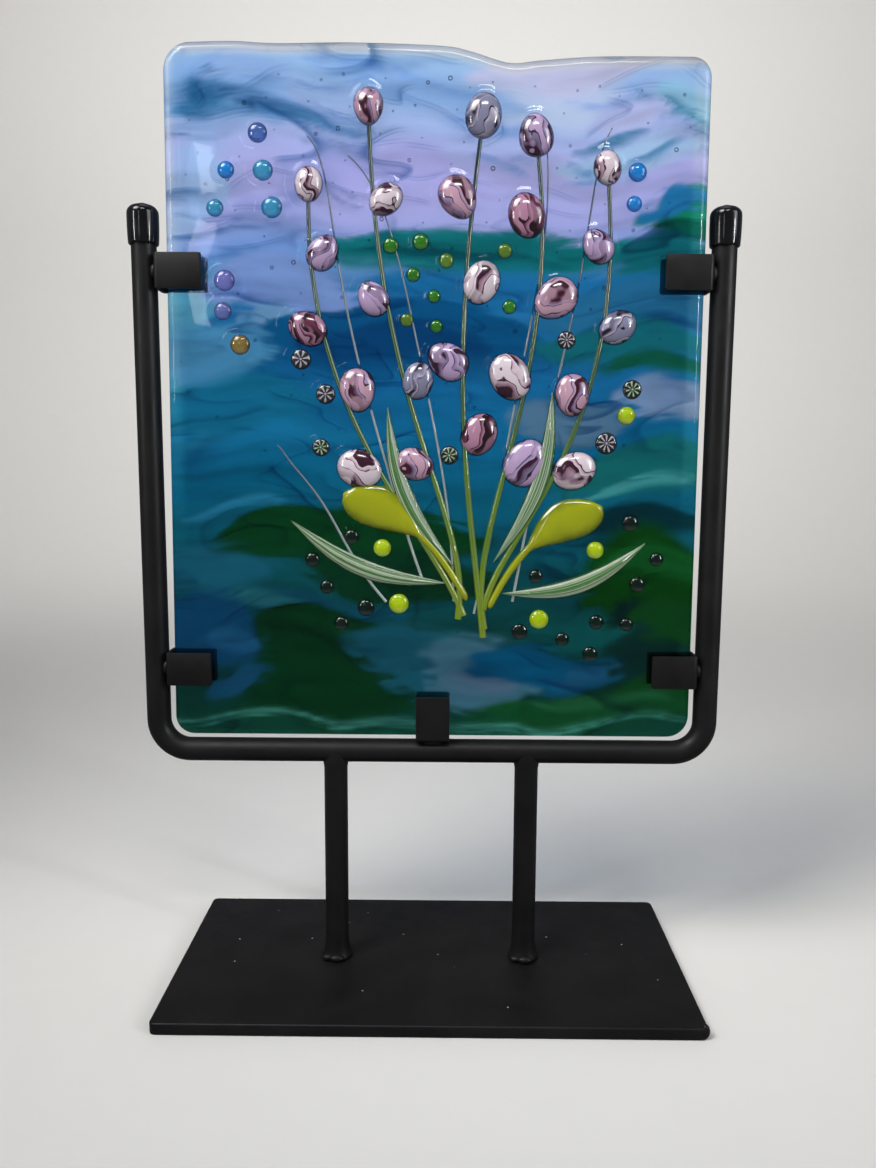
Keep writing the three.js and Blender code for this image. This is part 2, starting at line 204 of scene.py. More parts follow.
def draw_rings(profile, x=0):
    """In edit mode, draw the selected ring through (radius, height) pairs, of which it is the first."""
    for (radius, height), (wider, higher) in zip(profile, profile[1:]):
        draw_out((0, 0, higher - height))
        scale = wider / radius
        bpy.ops.transform.resize(value=(scale, scale, 1), center_override=(x, 0, higher))


def link(thing):
    """Put a new object in the scene."""
    bpy.context.collection.objects.link(thing)
    return thing


def modify(piece, kind, **values):
    """Add one modifier and apply it."""
    modifier = piece.modifiers.new(kind.title(), kind)
    for name, value in values.items():
        setattr(modifier, name, value)
    only(piece)
    bpy.ops.object.modifier_apply(modifier=modifier.name)


def merge_solid(piece, other, operation="UNION"):
    """Join another solid to a piece, or cut it away, and remove the other."""
    modify(piece, "BOOLEAN", operation=operation, solver="EXACT", object=other)
    bpy.data.objects.remove(other)


def turned(name, x, profile):
    """A round upright piece: a ring drawn through (radius, height) pairs, with its ends closed."""
    radius, height = profile[0]
    fresh()
    bpy.ops.mesh.primitive_circle_add(vertices=48, radius=radius, location=(x, 0, height))
    piece = named(name)
    edit(piece)
    pick_all()
    draw_rings(profile, x)
    close_up()
    return piece


def ball(name, segments, rings, **place):
    """A ball of radius 1, or of the scale and place that are given."""
    fresh()
    bpy.ops.mesh.primitive_uv_sphere_add(segments=segments, ring_count=rings, radius=1, **place)
    return named(name)


def add_weld(piece, place, size):
    """Join a rounded drop of weld metal to a piece. Its half sizes are in millimetres."""
    merge_solid(piece, ball("weld", 24, 14, location=place, scale=Vector(size) * MM))


def points(piece):
    """The mesh's points as rows of numbers."""
    values = np.empty(len(piece.data.vertices) * 3)
    piece.data.vertices.foreach_get("co", values)
    return values.reshape(-1, 3)


def set_points(piece, values):
    piece.data.vertices.foreach_set("co", np.asarray(values, float).ravel())
    piece.data.update()


def keep_attribute(piece, name, values):
    """Store one number or one vector per point for a material to read."""
    values = np.asarray(values, float)
    kind, key = ("FLOAT_VECTOR", "vector") if values.ndim > 1 else ("FLOAT", "value")
    piece.data.attributes.new(name, kind, "POINT").data.foreach_set(key, values.ravel())


def settle(piece, finish, slot, *nodes, angle=40):
    """Give a finished piece its shading, its material and its place on the stand."""
    only(piece)
    place_in_mesh()
    bpy.ops.object.shade_smooth_by_angle(angle=math.radians(angle))
    if not piece.data.materials:
        piece.data.materials.append(finish)
    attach(piece, "root")
    if nodes:
        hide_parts(*nodes)


# Materials


class Finish:
    """A material, with short calls for the nodes that build it."""

    def __init__(self, name):
        self.material = bpy.data.materials.new(name)
        self.material.use_nodes = True
        self.tree = self.material.node_tree
        self.tree.nodes.clear()
        self.output = self.node("OutputMaterial")
        self.shader = self.node("BsdfPrincipled")
        self.plug(self.output.inputs[0], self.shader.outputs[0])

    def node(self, kind, inputs=(), **settings):
        made = self.tree.nodes.new("ShaderNode" + kind)
        for name, value in settings.items():
            setattr(made, name, value)
        for name, value in dict(inputs).items():
            self.plug(made.inputs[name], value)
        return made

    def plug(self, socket, value):
        if isinstance(value, bpy.types.NodeSocket):
            self.tree.links.new(value, socket)
        elif socket.type == "RGBA" and len(value) == 3:
            socket.default_value = (*value, 1)
        else:
            socket.default_value = value

    def set(self, **values):
        """Set the shader's sockets, such as base_color or coat_weight."""
        for name, value in values.items():
            self.plug(self.shader.inputs[name.replace("_", " ").title().replace("Ior", "IOR")], value)

    def place(self, output="Object"):
        return self.node("TexCoord").outputs[output]

    def attribute(self, name, output="Fac"):
        return self.node("Attribute", attribute_name=name).outputs[output]

    def noise(self, vector, scale, detail=2.0, roughness=0.5, distortion=0.0, output="Fac"):
        names = ("Vector", "Scale", "Detail", "Roughness", "Distortion")
        inputs = dict(zip(names, (vector, scale, detail, roughness, distortion)))
        return self.node("TexNoise", inputs).outputs[output]

    def maths(self, operation, a, b=0.0):
        return self.node("Math", {0: a, 1: b}, operation=operation).outputs[0]

    def plus(self, a, b):
        return self.maths("ADD", a, b)

    def times(self, a, b):
        return self.maths("MULTIPLY", a, b)

    def vector(self, operation, a, b=(0, 0, 0)):
        made = self.node("VectorMath", {0: a, 1: b}, operation=operation)
        return made.outputs["Value" if operation == "LENGTH" else "Vector"]

    def scaled(self, vector, by):
        return self.vector("MULTIPLY", vector, (by,) * 3)

    def parts(self, vector):
        """A vector's X, Y and Z."""
        return self.node("SeparateXYZ", {0: vector}).outputs

    def joined(self, x=0.0, y=0.0, z=0.0):
        return self.node("CombineXYZ", {0: x, 1: y, 2: z}).outputs[0]

    def smooth(self, value, low, high, to_low=0.0, to_high=1.0):
        inputs = {"Value": value, "From Min": low, "From Max": high, "To Min": to_low, "To Max": to_high}
        return self.node("MapRange", inputs, interpolation_type="SMOOTHSTEP").outputs[0]

    def mix(self, factor, a, b, blend="MIX"):
        made = self.node("Mix", data_type="RGBA", blend_type=blend, clamp_factor=True)
        for index, value in ((0, factor), (6, a), (7, b)):
            self.plug(made.inputs[index], value)
        return made.outputs[2]

    def ramp(self, factor, stops, interpolation="EASE"):
        made = self.node("ValToRGB", {"Fac": factor})
        made.color_ramp.interpolation = interpolation
        elements = made.color_ramp.elements
        while len(elements) < len(stops):
            elements.new(1)
        for element, (position, value) in zip(elements, stops):
            element.position = position
            element.color = (*value, 1)
        return made.outputs["Color"]

    def bump(self, height, strength, distance):
        return self.node("Bump", {"Height": height, "Strength": strength, "Distance": distance}).outputs[0]

    def lets_lamps_through(self, tint, share):
        """Rays from lamps pass with a tint, so that the glass throws a coloured shadow."""
        clear = self.node("BsdfTransparent", {"Color": tint}).outputs[0]
        factor = self.times(self.node("LightPath").outputs["Is Shadow Ray"], share)
        mixed = self.node("MixShader", {0: factor, 1: self.shader.outputs[0], 2: clear})
        self.plug(self.output.inputs[0], mixed.outputs[0])


@functools.cache
def powder_coat():
    """Satin black coat with fine orange peel, and a few specks of dust on what faces up."""
    coat = bpy.context.scene.stand.coat
    finish = Finish("powder_coat")
    place = finish.place()
    cloudy = finish.smooth(finish.noise(place, 38, 3), 0.35, 0.7)
    base = finish.mix(cloudy, coat, [1.5 * value for value in coat])
    dust = finish.node("TexVoronoi", {"Vector": place, "Scale": 150}, feature="F1").outputs
    spot = finish.smooth(dust["Distance"], 0.04, 0.09, 1, 0)
    rare = finish.smooth(finish.noise(dust["Position"], 900, 0), 0.62, 0.64)
    upward = finish.smooth(finish.parts(finish.place("Normal"))["Z"], 0.8, 0.9)
    speck = finish.times(finish.times(spot, rare), upward)
    finish.set(
        base_color=finish.mix(speck, base, linear(150, 150, 150)),
        roughness=finish.smooth(finish.noise(place, 90, 3), 0.3, 0.7, 0.4, 0.52),
        normal=finish.bump(finish.noise(place, 1400, 2), 0.2, 0.1 * MM),
        specular_ior_level=0.25,
    )
    return finish.material


@functools.cache
def soft_vinyl():
    """Glossy dipped vinyl with faint runs."""
    finish = Finish("soft_vinyl")
    place = finish.place()
    smears = finish.noise(finish.vector("MULTIPLY", place, (1, 1, 0.3)), 260, 3)
    finish.set(
        base_color=finish.mix(smears, bpy.context.scene.stand.vinyl, linear(20, 20, 22)),
        roughness=finish.smooth(smears, 0.3, 0.75, 0.09, 0.26),
        normal=finish.bump(finish.noise(place, 420, 2), 0.3, 0.1 * MM),
        coat_weight=0.3,
        coat_roughness=0.06,
        specular_ior_level=0.3,
    )
    return finish.material


# The sheet's ground as seen against the pale backdrop: height in millimetres, then red, green and blue
GROUND = [
    (126, 12, 66, 52),
    (140, 6, 54, 46),
    (165, 6, 56, 52),
    (190, 8, 66, 70),
    (215, 6, 72, 84),
    (245, 6, 84, 112),
    (275, 10, 92, 134),
    (305, 16, 92, 142),
    (330, 24, 98, 150),
    (350, 40, 112, 166),
    (362, 104, 142, 200),
    (380, 148, 154, 208),
    (400, 158, 160, 212),
    (425, 146, 168, 216),
    (445, 136, 170, 222),
    (460, 150, 180, 226),
]
# Streaks over the ground, the deepest first: x and z of both ends in millimetres, bow upwards, half
# height, how soft the upper and the lower side are, then red, green and blue
STREAKS = [
    (28, 432, 100, 438, 0, 12, 8, 8, 166, 182, 230),
    (-62, 402, 20, 397, 0, 15, 10, 10, 156, 158, 214),
    (50, 404, 128, 408, 0, 7, 6, 8, 148, 178, 218),
    (-30, 438, 56, 430, 3, 7, 8, 8, 128, 164, 218),
    (-138, 436, -60, 436, 0, 17, 14, 14, 126, 164, 212),
    (-136, 392, -100, 390, 0, 24, 10, 10, 142, 170, 214),
    (-122, 425, -54, 460, 2, 6.5, 8, 1.3, 62, 118, 168),
    (-114, 428, -80, 451, 2, 3, 3.4, 0.9, 34, 94, 144),
    (-100, 446, -58, 444, 0, 7, 3, 5, 134, 166, 220),
    (-122, 425, -92, 431, 0, 4, 5, 4, 40, 102, 148),
    (-106, 438, -26, 421, -5, 3.4, 5, 0.9, 56, 108, 158),
    (-98, 433, -40, 421, -3, 1.3, 1.8, 0.8, 28, 80, 130),
    (-92, 436, -12, 444, -2, 0.8, 1.2, 3, 92, 128, 180),
    (-126, 429, -40, 421, -2, 2.4, 5, 1.1, 76, 128, 178),
    (-132, 421, -100, 414, -1, 1.3, 1.2, 4, 54, 108, 158),
    (-66, 412, -34, 412, 1, 0.9, 1.2, 3, 110, 130, 184),
    (-54, 428, -26, 422, 3, 1.2, 1.2, 3.4, 72, 118, 168),
    (-116, 454, -82, 452, 4, 1.4, 1.2, 4, 96, 142, 194),
    (-60, 452, -8, 440, 4, 1.4, 1.2, 5, 98, 142, 200),
    (-12, 452, 44, 436, -3, 1.2, 1.2, 5, 104, 146, 204),
    (-132, 371, -70, 370, 2, 1, 1.2, 3, 62, 108, 162),
    (-94, 365, -48, 346, -4, 1, 1.2, 4, 74, 112, 166),
    (-56, 393, -34, 388, -2, 1.3, 1.2, 4, 96, 108, 164),
    (-74, 354, -44, 346, -2, 2, 1.2, 5, 54, 112, 168),
    (6, 429, 60, 420, -2, 1.6, 1.2, 6, 94, 136, 192),
    (14, 412, 42, 401, 2, 1.4, 1.2, 5, 98, 132, 190),
    (58, 410, 78, 403, -2, 1.6, 1.2, 5, 78, 126, 176),
    (60, 413, 98, 415, 1, 1.7, 1.2, 4, 56, 112, 150),
    (78, 404, 114, 411, -2, 1.6, 1.2, 4, 66, 122, 164),
    (56, 398, 92, 394, 3, 1.2, 1.2, 4, 92, 126, 178),
    (94, 434, 109, 419, 1, 1.1, 1.2, 4, 104, 124, 182),
    (70, 440, 104, 430, -3, 1.1, 1.2, 5, 116, 144, 202),
    (24, 447, 120, 446, 0, 7, 6, 6, 176, 180, 224),
    (72, 426, 112, 422, 0, 6, 6, 6, 164, 172, 218),
    (112, 430, 140, 426, 0, 10, 4, 6, 136, 182, 212),
    (104, 438, 138, 410, -4, 2, 6, 1.2, 54, 120, 154),
    (108, 420, 138, 418, 3, 1.4, 1.2, 4, 78, 134, 166),
    (116, 407, 136, 398, 0, 1.6, 1.2, 4, 82, 106, 160),
    (-142, 340, -94, 342, 0, 18, 8, 8, 72, 142, 176),
    (-142, 300, -98, 302, 0, 30, 14, 14, 32, 112, 142),
    (-112, 348, -30, 339, 2, 14, 8, 6, 112, 140, 196),
    (-86, 330, -62, 326, 0, 8, 6, 5, 86, 128, 166),
    (-62, 366, 110, 362, 2, 11, 1.4, 7, 12, 100, 108),
    (-46, 367, 80, 362, 1, 2.4, 2, 4, 4, 70, 82),
    (-36, 351, 122, 348, -1, 9, 5, 6, 22, 98, 150),
    (98, 380, 146, 380, 0, 11, 0.9, 4, 14, 118, 92),
    (96, 385, 122, 380, 0, 8, 1.5, 4, 30, 108, 160),
    (102, 371, 146, 371, 0, 4.4, 2, 2, 4, 84, 66),
    (86, 358, 146, 360, 0, 10, 4, 8, 10, 92, 104),
    (-98, 308, 72, 322, 10, 18, 1.2, 14, 6, 72, 118),
    (-66, 314, 40, 322, 6, 9, 4, 8, 4, 56, 102),
    (-144, 316, -72, 314, 0, 15, 9, 5, 60, 120, 160),
    (-118, 300, -84, 300, 0, 2, 2, 4, 74, 136, 176),
    (48, 342, 146, 338, -2, 10, 6, 6, 30, 96, 138),
    (78, 331, 146, 328, 0, 3.4, 2, 5, 16, 70, 112),
    (52, 322, 146, 318, 2, 9, 3, 8, 14, 90, 104),
    (80, 312, 146, 307, 0, 5, 2, 6, 8, 78, 62),
    (30, 288, 88, 284, 0, 11, 5, 2, 68, 104, 134),
    (84, 297, 138, 289, -2, 10, 5, 2, 102, 128, 164),
    (-146, 284, -60, 290, 2, 15, 9, 8, 14, 98, 134),
    (-128, 268, -8, 277, 3, 6, 2.5, 9, 16, 102, 144),
    (-142, 246, -42, 254, 2, 6, 2, 8, 4, 82, 114),
    (-130, 258, -64, 256, -2, 1.6, 1.2, 5, 4, 70, 100),
    (-118, 236, -60, 240, 2, 2.2, 3, 5, 30, 106, 140),
    (62, 262, 146, 257, 0, 14, 6, 10, 14, 92, 96),
    (84, 249, 138, 254, 0, 3, 1.5, 4, 52, 128, 132),
    (66, 233, 146, 234, 0, 8, 3, 6, 2, 42, 50),
    (-114, 219, 36, 227, 5, 15, 1.3, 5, 4, 54, 26),
    (-70, 211, 34, 207, 0, 13, 4, 2, 4, 48, 28),
    (-146, 213, -76, 207, 0, 11, 6, 8, 18, 82, 104),
    (-112, 196, -4, 190, -2, 6, 3, 4, 8, 66, 86),
    (-124, 206, 24, 180, -8, 4.6, 4, 1.4, 28, 92, 104),
    (-112, 158, 8, 158, 2, 32, 1.6, 8, 4, 50, 26),
    (-146, 182, -84, 178, 0, 21, 8, 10, 8, 62, 98),
    (-120, 175, -86, 170, 0, 8, 5, 5, 22, 78, 116),
    (-112, 154, -88, 150, 0, 9, 7, 7, 16, 70, 104),
    (-48, 178, 40, 150, 0, 18, 4, 2, 18, 78, 96),
    (-12, 166, 52, 148, 4, 19, 5, 1.5, 54, 98, 118),
    (-2, 158, 38, 150, 3, 5, 5, 3, 72, 98, 122),
    (38, 186, 100, 180, 0, 9, 6, 5, 8, 76, 78),
    (8, 166, 92, 156, 2, 11, 2, 2.5, 4, 76, 112),
    (54, 160, 90, 158, 0, 5.5, 3, 4, 22, 78, 112),
    (70, 206, 146, 204, 0, 26, 10, 10, 6, 58, 14),
    (82, 214, 146, 210, 0, 8, 5, 6, 12, 78, 32),
    (82, 167, 122, 158, 0, 16, 8, 6, 6, 42, 40),
    (86, 191, 118, 184, 0, 7, 5, 6, 4, 34, 32),
    (98, 186, 150, 176, 0, 12, 6, 10, 10, 62, 24),
    (84, 140, 150, 152, 0, 12, 6, 10, 10, 64, 24),
    (20, 141, 146, 138, 0, 9, 2.5, 8, 12, 70, 36),
    (52, 147, 130, 142, 0, 2.8, 1.5, 4, 28, 88, 54),
    # The pale line along the foot is a painted highlight, where the bottom edge's rounding would catch light
    (-170, 133, 170, 133, 0, 1.2, 1.6, 1.2, 60, 130, 118),
]
# How the hot glass was drawn about: two wave lengths, a pull and a turn for each wave
FLOW = [(30, 17, 3.2, 0.4), (17, 10, 2.2, 1.9), (9.5, 6, 1.2, 3.1), (5.5, 3.6, 0.5, 4.4)]
SEEN_THROUGH = 0.66
# Two looks at the laid colours, this far apart in millimetres, are mixed in fine streaks
FRAY = (7, 2.2)
# The glass is thinner along its edges, so its colours are paler: how far in, and how much
THIN_EDGE = {"in": 10, "soft": 3, "share": 0.22}
# Along the top only clear glass ran over. White lines are painted as highlights where the top edge turns down and
# down the upper left edge
RIM_SHADE = (190, 196, 212)
TOP_RIM = {"in": 5.4, "soft": 1.4, "share": 0.7}
RIM_PAINTED_HIGHLIGHT = {"at": 3.5, "half": 0.9, "share": 0.85}
SIDE_PAINTED_HIGHLIGHT = {"at": 2.7, "half": 0.8, "share": 0.7, "low": 325, "high": 375}


def eased(value):
    value = np.clip(value, 0, 1)
    return value * value * (3 - 2 * value)


def flowed(x, z):
    """Places in millimetres, drawn out sideways and curled."""
    for wide, tall, pull, turn in FLOW:
        x, z = x + 1.8 * pull * np.sin(z / tall + turn), z + pull * np.sin(x / wide + 2 * turn)
    return x, z


def streak_share(x, z, x_from, z_from, x_to, z_to, bow, half, soft_top, soft_low):
    """How much of a place a streak covers: it tapers to its ends and has two unlike sides."""
    run_x, run_z = x_to - x_from, z_to - z_from
    reach = math.hypot(run_x, run_z)
    dx, dz = x - x_from, z - z_from
    along = (dx * run_x + dz * run_z) / reach**2
    bulge = 4 * along * (1 - along)
    off = (dz * run_x - dx * run_z) / reach - bow * bulge
    room = half * np.clip(bulge, 0, 1) ** 0.75
    return eased(0.5 + (room - off) / soft_top) * eased(0.5 + (room + off) / soft_low) * eased(3 * bulge)


def laid_over(tint, share, shade):
    """Colours with a shade laid over them, by a share for each place."""
    return tint + share[:, None] * (np.array(linear(*shade)) - tint)


def laid_colours(x, z, thin, rim, line):
    """The sheet's colours at flowed places: paler where it is thin, grey on its rim, and a white line painted as a
    highlight.
    """
    heights, *channels = zip(*((height, *linear(*shade)) for height, *shade in GROUND))
    tint = np.column_stack([np.interp(z, heights, channel) for channel in channels])
    for *shape, red, green, blue in STREAKS:
        tint = laid_over(tint, streak_share(x, z, *shape), (red, green, blue))
    tint = np.minimum(tint / SEEN_THROUGH, 1) ** (1 - THIN_EDGE["share"] * thin[:, None])
    # The white laid by the line's share is a painted highlight
    return laid_over(laid_over(tint, rim, RIM_SHADE), line, (255, 255, 255))


def streaky_glass():
    """Streaky sheet glass. Its colours were laid with the sheet; fine streaks and wisps run through them."""
    finish = Finish("streaky_glass")
    flow = finish.attribute("flow", "Vector")
    drawn = finish.vector("MULTIPLY", flow, (0.14, 1, 1))
    fray = finish.smooth(finish.noise(drawn, 160, 2, 0.6), 0.4, 0.6)
    fray = finish.times(fray, finish.smooth(finish.noise(flow, 14, 1), 0.36, 0.52))
    tint = finish.mix(fray, finish.attribute("laid_above", "Color"), finish.attribute("laid_below", "Color"))
    streaks = finish.noise(drawn, 70, 3, 0.6)
    tint = finish.mix(1.0, tint, finish.ramp(streaks, [(0.32, (0.76,) * 3), (0.6, (1,) * 3)]), "MULTIPLY")
    # Wisps, each kind with its stretch, scale, detail and share: one sharp side and one that fades
    wisps = (((0.3, 1, 1.3), 15, 2.0, 0.9), ((0.4, 1, 1.2), 34, 1.2, 0.6), ((0.22, 1, 1.6), 22, 0.5, 0.55))
    for stretch, scale, detail, share in wisps:
        field = finish.noise(finish.vector("MULTIPLY", flow, stretch), scale, detail, 0.5, 0.4)
        stops = [(0.5, (0,) * 3), (0.505, (1,) * 3), (0.52, (0.35,) * 3), (0.56, (0,) * 3)]
        there = finish.smooth(finish.noise(flow, scale + 3, 0), 0.46, 0.6, 0, share)
        wisp = finish.times(finish.ramp(field, stops, "LINEAR"), there)
        shade = finish.mix(wisp, linear(255, 255, 255), linear(88, 146, 184))
        tint = finish.mix(1.0, tint, shade, "MULTIPLY")
    finish.set(base_color=tint, roughness=0.02, ior=1.5, transmission_weight=0.9)
    finish.set(specular_ior_level=0.2, specular_tint=(0.4, 0.4, 0.4))
    finish.lets_lamps_through(linear(150, 180, 210), 0.7)
    return finish.material


def bubble_glass():
    """The wall of an air bubble: a dark ring, painted as shade across the front view, round a clear middle."""
    finish = Finish("bubble_wall")
    ring = finish.smooth(finish.attribute("rim"), 0.5, 0.85, 0.02, 0.85)
    finish.set(base_color=linear(34, 40, 84), roughness=0.1, alpha=ring)
    return finish.material


# How a bud's glass is coloured: pale ground, second ground, translucent band and dark threads
BUD_GLASS = {
    "opal": ((206, 192, 200), (176, 146, 162), (120, 92, 110), (52, 16, 36)),
    "lilac": ((174, 150, 186), (120, 112, 144), (96, 70, 98), (48, 18, 40)),
    "blush": ((184, 146, 164), (148, 134, 172), (100, 62, 88), (56, 16, 34)),
    "mist": ((124, 124, 150), (188, 176, 194), (84, 78, 104), (34, 18, 36)),
    "wine": ((166, 122, 146), (100, 46, 70), (72, 24, 46), (34, 8, 20)),
}
BUD_ORDER = ("opal", "lilac", "mist", "blush", "opal", "lilac", "wine", "blush")


@functools.cache
def marbled_glass(name):
    """Opal glass with dark bands and threads folded into it, and a painted shade darkening its edge. It reads the
    bud's own place and number.
    """
    ground, second, veil, threads = (linear(*shade) for shade in BUD_GLASS[name])
    finish = Finish("marbled_" + name)
    place = finish.attribute("bud_place", "Vector")
    number = finish.attribute("bud_number")
    own = finish.vector("ADD", place, finish.joined(finish.times(number, 3.7), number, number))
    swirl = finish.noise(own, 0.8, 1, output="Color")
    bend = finish.scaled(finish.vector("SUBTRACT", swirl, (0.5, 0.5, 0.5)), 2.2)
    parts = finish.parts(finish.vector("ADD", place, bend))
    # Each bud's bands run in a direction of their own
    angle = finish.maths("SINE", finish.times(number, 2.1))
    angle = finish.plus(finish.times(angle, 0.7), 1.35)
    along = finish.times(parts[0], finish.maths("COSINE", angle))
    across = finish.times(parts[2], finish.maths("SINE", angle))
    sweep = finish.times(finish.plus(along, across), 0.68)
    sweep = finish.plus(sweep, finish.times(number, 0.37))
    sweep = finish.plus(sweep, finish.times(finish.noise(own, 2.6, 2), 0.16))
    bands = [
        (0.0, ground), (0.2, ground), (0.215, threads), (0.24, threads), (0.26, second),
        (0.42, veil), (0.46, threads), (0.64, threads), (0.66, ground),
        (0.8, second), (0.815, threads), (0.84, threads), (0.855, ground),
    ]
    body = finish.ramp(finish.maths("FRACT", sweep), bands, "LINEAR")
    body = finish.mix(finish.smooth(finish.noise(own, 1.1, 1), 0.52, 0.6, 0, 0.6), body, ground)
    # Painted shade: the bud's edge is darkened towards the dark threads' colour
    body = finish.mix(finish.smooth(finish.attribute("rim"), 0.75, 1.0, 0, 0.4), body, threads)
    finish.set(base_color=body, roughness=0.16, ior=1.5, coat_weight=0.8, coat_roughness=0.04)
    finish.set(subsurface_weight=0.15, subsurface_radius=(2.0, 1.6, 2.0), subsurface_scale=0.001)
    return finish.material


@functools.cache
def accent_glass(name, light, dark, clear, streak=None, gloss=0.2):
    """Transparent coloured glass, darker towards its rim as a painted shade. Without streaks it also has darker
    patches, and a painted glow lightens its lower part, where light from above would gather.
    """
    light, dark = linear(*light), linear(*dark)
    finish = Finish("glass_" + name)
    reach = finish.attribute("rim")
    place = finish.place()
    cloudy = finish.noise(place, 240, 3)
    # Painted shade: the deep colour gathers towards the rim, broken a little by noise
    depth = finish.smooth(finish.plus(reach, finish.times(cloudy, 0.3)), 0.6, 1.3)
    tint = finish.mix(depth, light, dark)
    if streak:
        own = finish.joined(finish.attribute("lane"), finish.times(cloudy, 0.06))
        tint = finish.mix(finish.smooth(finish.noise(own, 5, 1.5), 0.44, 0.58), tint, linear(*streak))
    else:
        # A painted glow: the lower part, inside the rim, is lightened
        low = finish.smooth(finish.parts(finish.attribute("bud_place", "Vector"))[2], -0.75, -0.1, 0.5, 0)
        tint = finish.mix(finish.smooth(finish.noise(place, 45, 2), 0.5, 0.75, 0, 0.3), tint, dark)
        painted_glow = finish.times(low, finish.smooth(reach, 0.1, 0.5))
        tint = finish.mix(painted_glow, tint, [min(1, 1.3 * value + 0.15) for value in light])
    finish.set(base_color=tint, roughness=0.04, ior=1.5, transmission_weight=clear, specular_ior_level=0.4)
    finish.set(coat_weight=gloss, coat_roughness=0.02)
    finish.set(normal=finish.bump(finish.noise(place, 45, 2), 0.5, 1.5 * MM))
    finish.lets_lamps_through(tint, 0.6)
    return finish.material


@functools.cache
def drawn_glass(name, clear, pale, stops):
    """Rod drawn from coloured glass. Its colour changes along it, and pale lines run its length."""
    finish = Finish("rod_" + name)
    tint = finish.ramp(finish.attribute("along"), [(at, linear(*shade)) for at, shade in stops])
    # The surface faces the same way all along a straight rod, so lines by its direction run lengthwise
    lanes = finish.noise(finish.place("Normal"), 2.6, 1)
    tint = finish.mix(finish.smooth(lanes, 0.5, 0.6, 0, 0.55), tint, linear(*pale))
    finish.set(base_color=tint, roughness=0.04, ior=1.5, transmission_weight=clear)
    finish.set(coat_weight=0.6, coat_roughness=0.02)
    finish.lets_lamps_through(tint, 0.6)
    return finish.material


@functools.cache
def cane_glass():
    """A slice of cane: a pale star of rays in dark glass, with as many rays as its number gives."""
    finish = Finish("glass_cane")
    place = finish.attribute("bud_place", "Vector")
    number = finish.attribute("bud_number")
    across, _, up = finish.parts(place)
    reach = finish.vector("LENGTH", finish.joined(across, up))
    count = finish.plus(finish.maths("MODULO", number, 3), 7)
    rays = finish.maths("SINE", finish.times(finish.maths("ARCTAN2", up, across), count))
    own = finish.vector("ADD", finish.scaled(place, 3.0), finish.joined(y=finish.times(number, 5)))
    ragged = finish.noise(own, 1.4, 2)
    over = finish.maths("SUBTRACT", reach, finish.plus(finish.times(ragged, 0.9), 0.3))
    ring = finish.times(finish.smooth(reach, 0.16, 0.24), finish.smooth(over, -0.06, 0.04, 1, 0))
    star = finish.times(finish.smooth(rays, 0.1, 0.7), finish.smooth(ragged, 0.34, 0.46, 0.4, 1))
    heart = finish.smooth(reach, 0.09, 0.15, 0.8, 0)
    pale = finish.maths("MAXIMUM", finish.times(star, ring), heart)
    tint = finish.mix(finish.smooth(reach, 0.75, 0.95), linear(14, 34, 26), linear(44, 26, 40))
    kind = finish.smooth(finish.maths("SINE", finish.times(number, 2.0)), -0.2, 0.2)
    star_shade = finish.mix(kind, linear(172, 158, 174), linear(150, 168, 140))
    finish.set(base_color=finish.mix(pale, tint, star_shade))
    finish.set(roughness=0.1, coat_weight=1.0, coat_roughness=0.02)
    return finish.material


# Stand


def build_base(settings):
    low, high = BASE_BOX
    fresh()
    bpy.ops.mesh.primitive_cube_add(size=1, location=(low + high) / 2, scale=high - low)
    base = named("stand_base")
    edit(base)
    middle = (low.z + high.z) / 2
    is_level = lambda edge: math.prod(vert.co.z - middle for vert in edge.verts) > 0
    pick("edges", lambda edge: not is_level(edge))
    bpy.ops.mesh.bevel(offset=settings.corner, segments=6, affect="EDGES")
    pick("edges", is_level)
    bpy.ops.mesh.bevel(offset=settings.edge, segments=4, affect="EDGES")
    leave()
    # The coat gathered in a blob at one corner
    add_weld(base, (high.x - 1.4 * MM, low.y + 1.6 * MM, 3.8 * MM), (2.1, 1.9, 3.6))
    settle(base, powder_coat(), "black_coat", "base_plate", angle=35)


def build_bar(settings):
    bend = settings.bend
    top = FRAME_BOX[1].z
    fresh()
    bpy.ops.mesh.primitive_circle_add(vertices=48, radius=BAR_RADIUS, location=(-BAR_HALF, 0, top))
    bar = named("stand_bar")
    edit(bar)
    pick_all()
    down = BAR_LOW + bend - top
    draw_out((0, 0, down))
    for side, run in ((-1, (2 * (BAR_HALF - bend), 0, 0)), (1, (0, 0, -down))):
        centre = (side * (BAR_HALF - bend), 0, BAR_LOW + bend)
        bpy.ops.mesh.spin(steps=18, angle=math.pi / 2, center=centre, axis=(0, 1, 0), dupli=False)
        draw_out(run)
    close_up()
    settle(bar, powder_coat(), "black_coat", "frame_bar")


# How a cap's lip runs: millimetres inside the outer wall, and above the foot
CAP_LIP = ((0.65, 0), (0.4, 0.25), (0.3, 0.8), (0.12, 4), (0, 9))
# Its soft dome: share of the outer radius, and millimetres below the top
CAP_DOME = (
    (1, 5.2), (0.988, 4.3), (0.955, 3.5), (0.9, 2.8), (0.8, 2.0), (0.68, 1.4),
    (0.54, 1.0), (0.4, 0.75), (0.3, 0.45), (0.18, 0.12), (0.06, 0),
)


def build_caps(settings):
    low, high = CAP_BOX
    outer = (high.x - low.x) / 2
    inner = outer - settings.cap_wall
    roof = FRAME_BOX[1].z + 0.1 * MM
    profile = [(0.2 * MM, roof), (inner - 1.5 * MM, roof), (inner, roof - 0.8 * MM)]
    profile += [(inner, low.z + 0.5 * MM), (inner + 0.25 * MM, low.z)]
    profile += [(outer - inside * MM, low.z + above * MM) for inside, above in CAP_LIP]
    profile += [(outer * share, high.z - below * MM) for share, below in CAP_DOME]
    for word, side in SIDES.items():
        cap = turned("stand_cap_" + word, side * BAR_HALF, profile)
        settle(cap, soft_vinyl(), "black_vinyl", "end_cap_" + word)


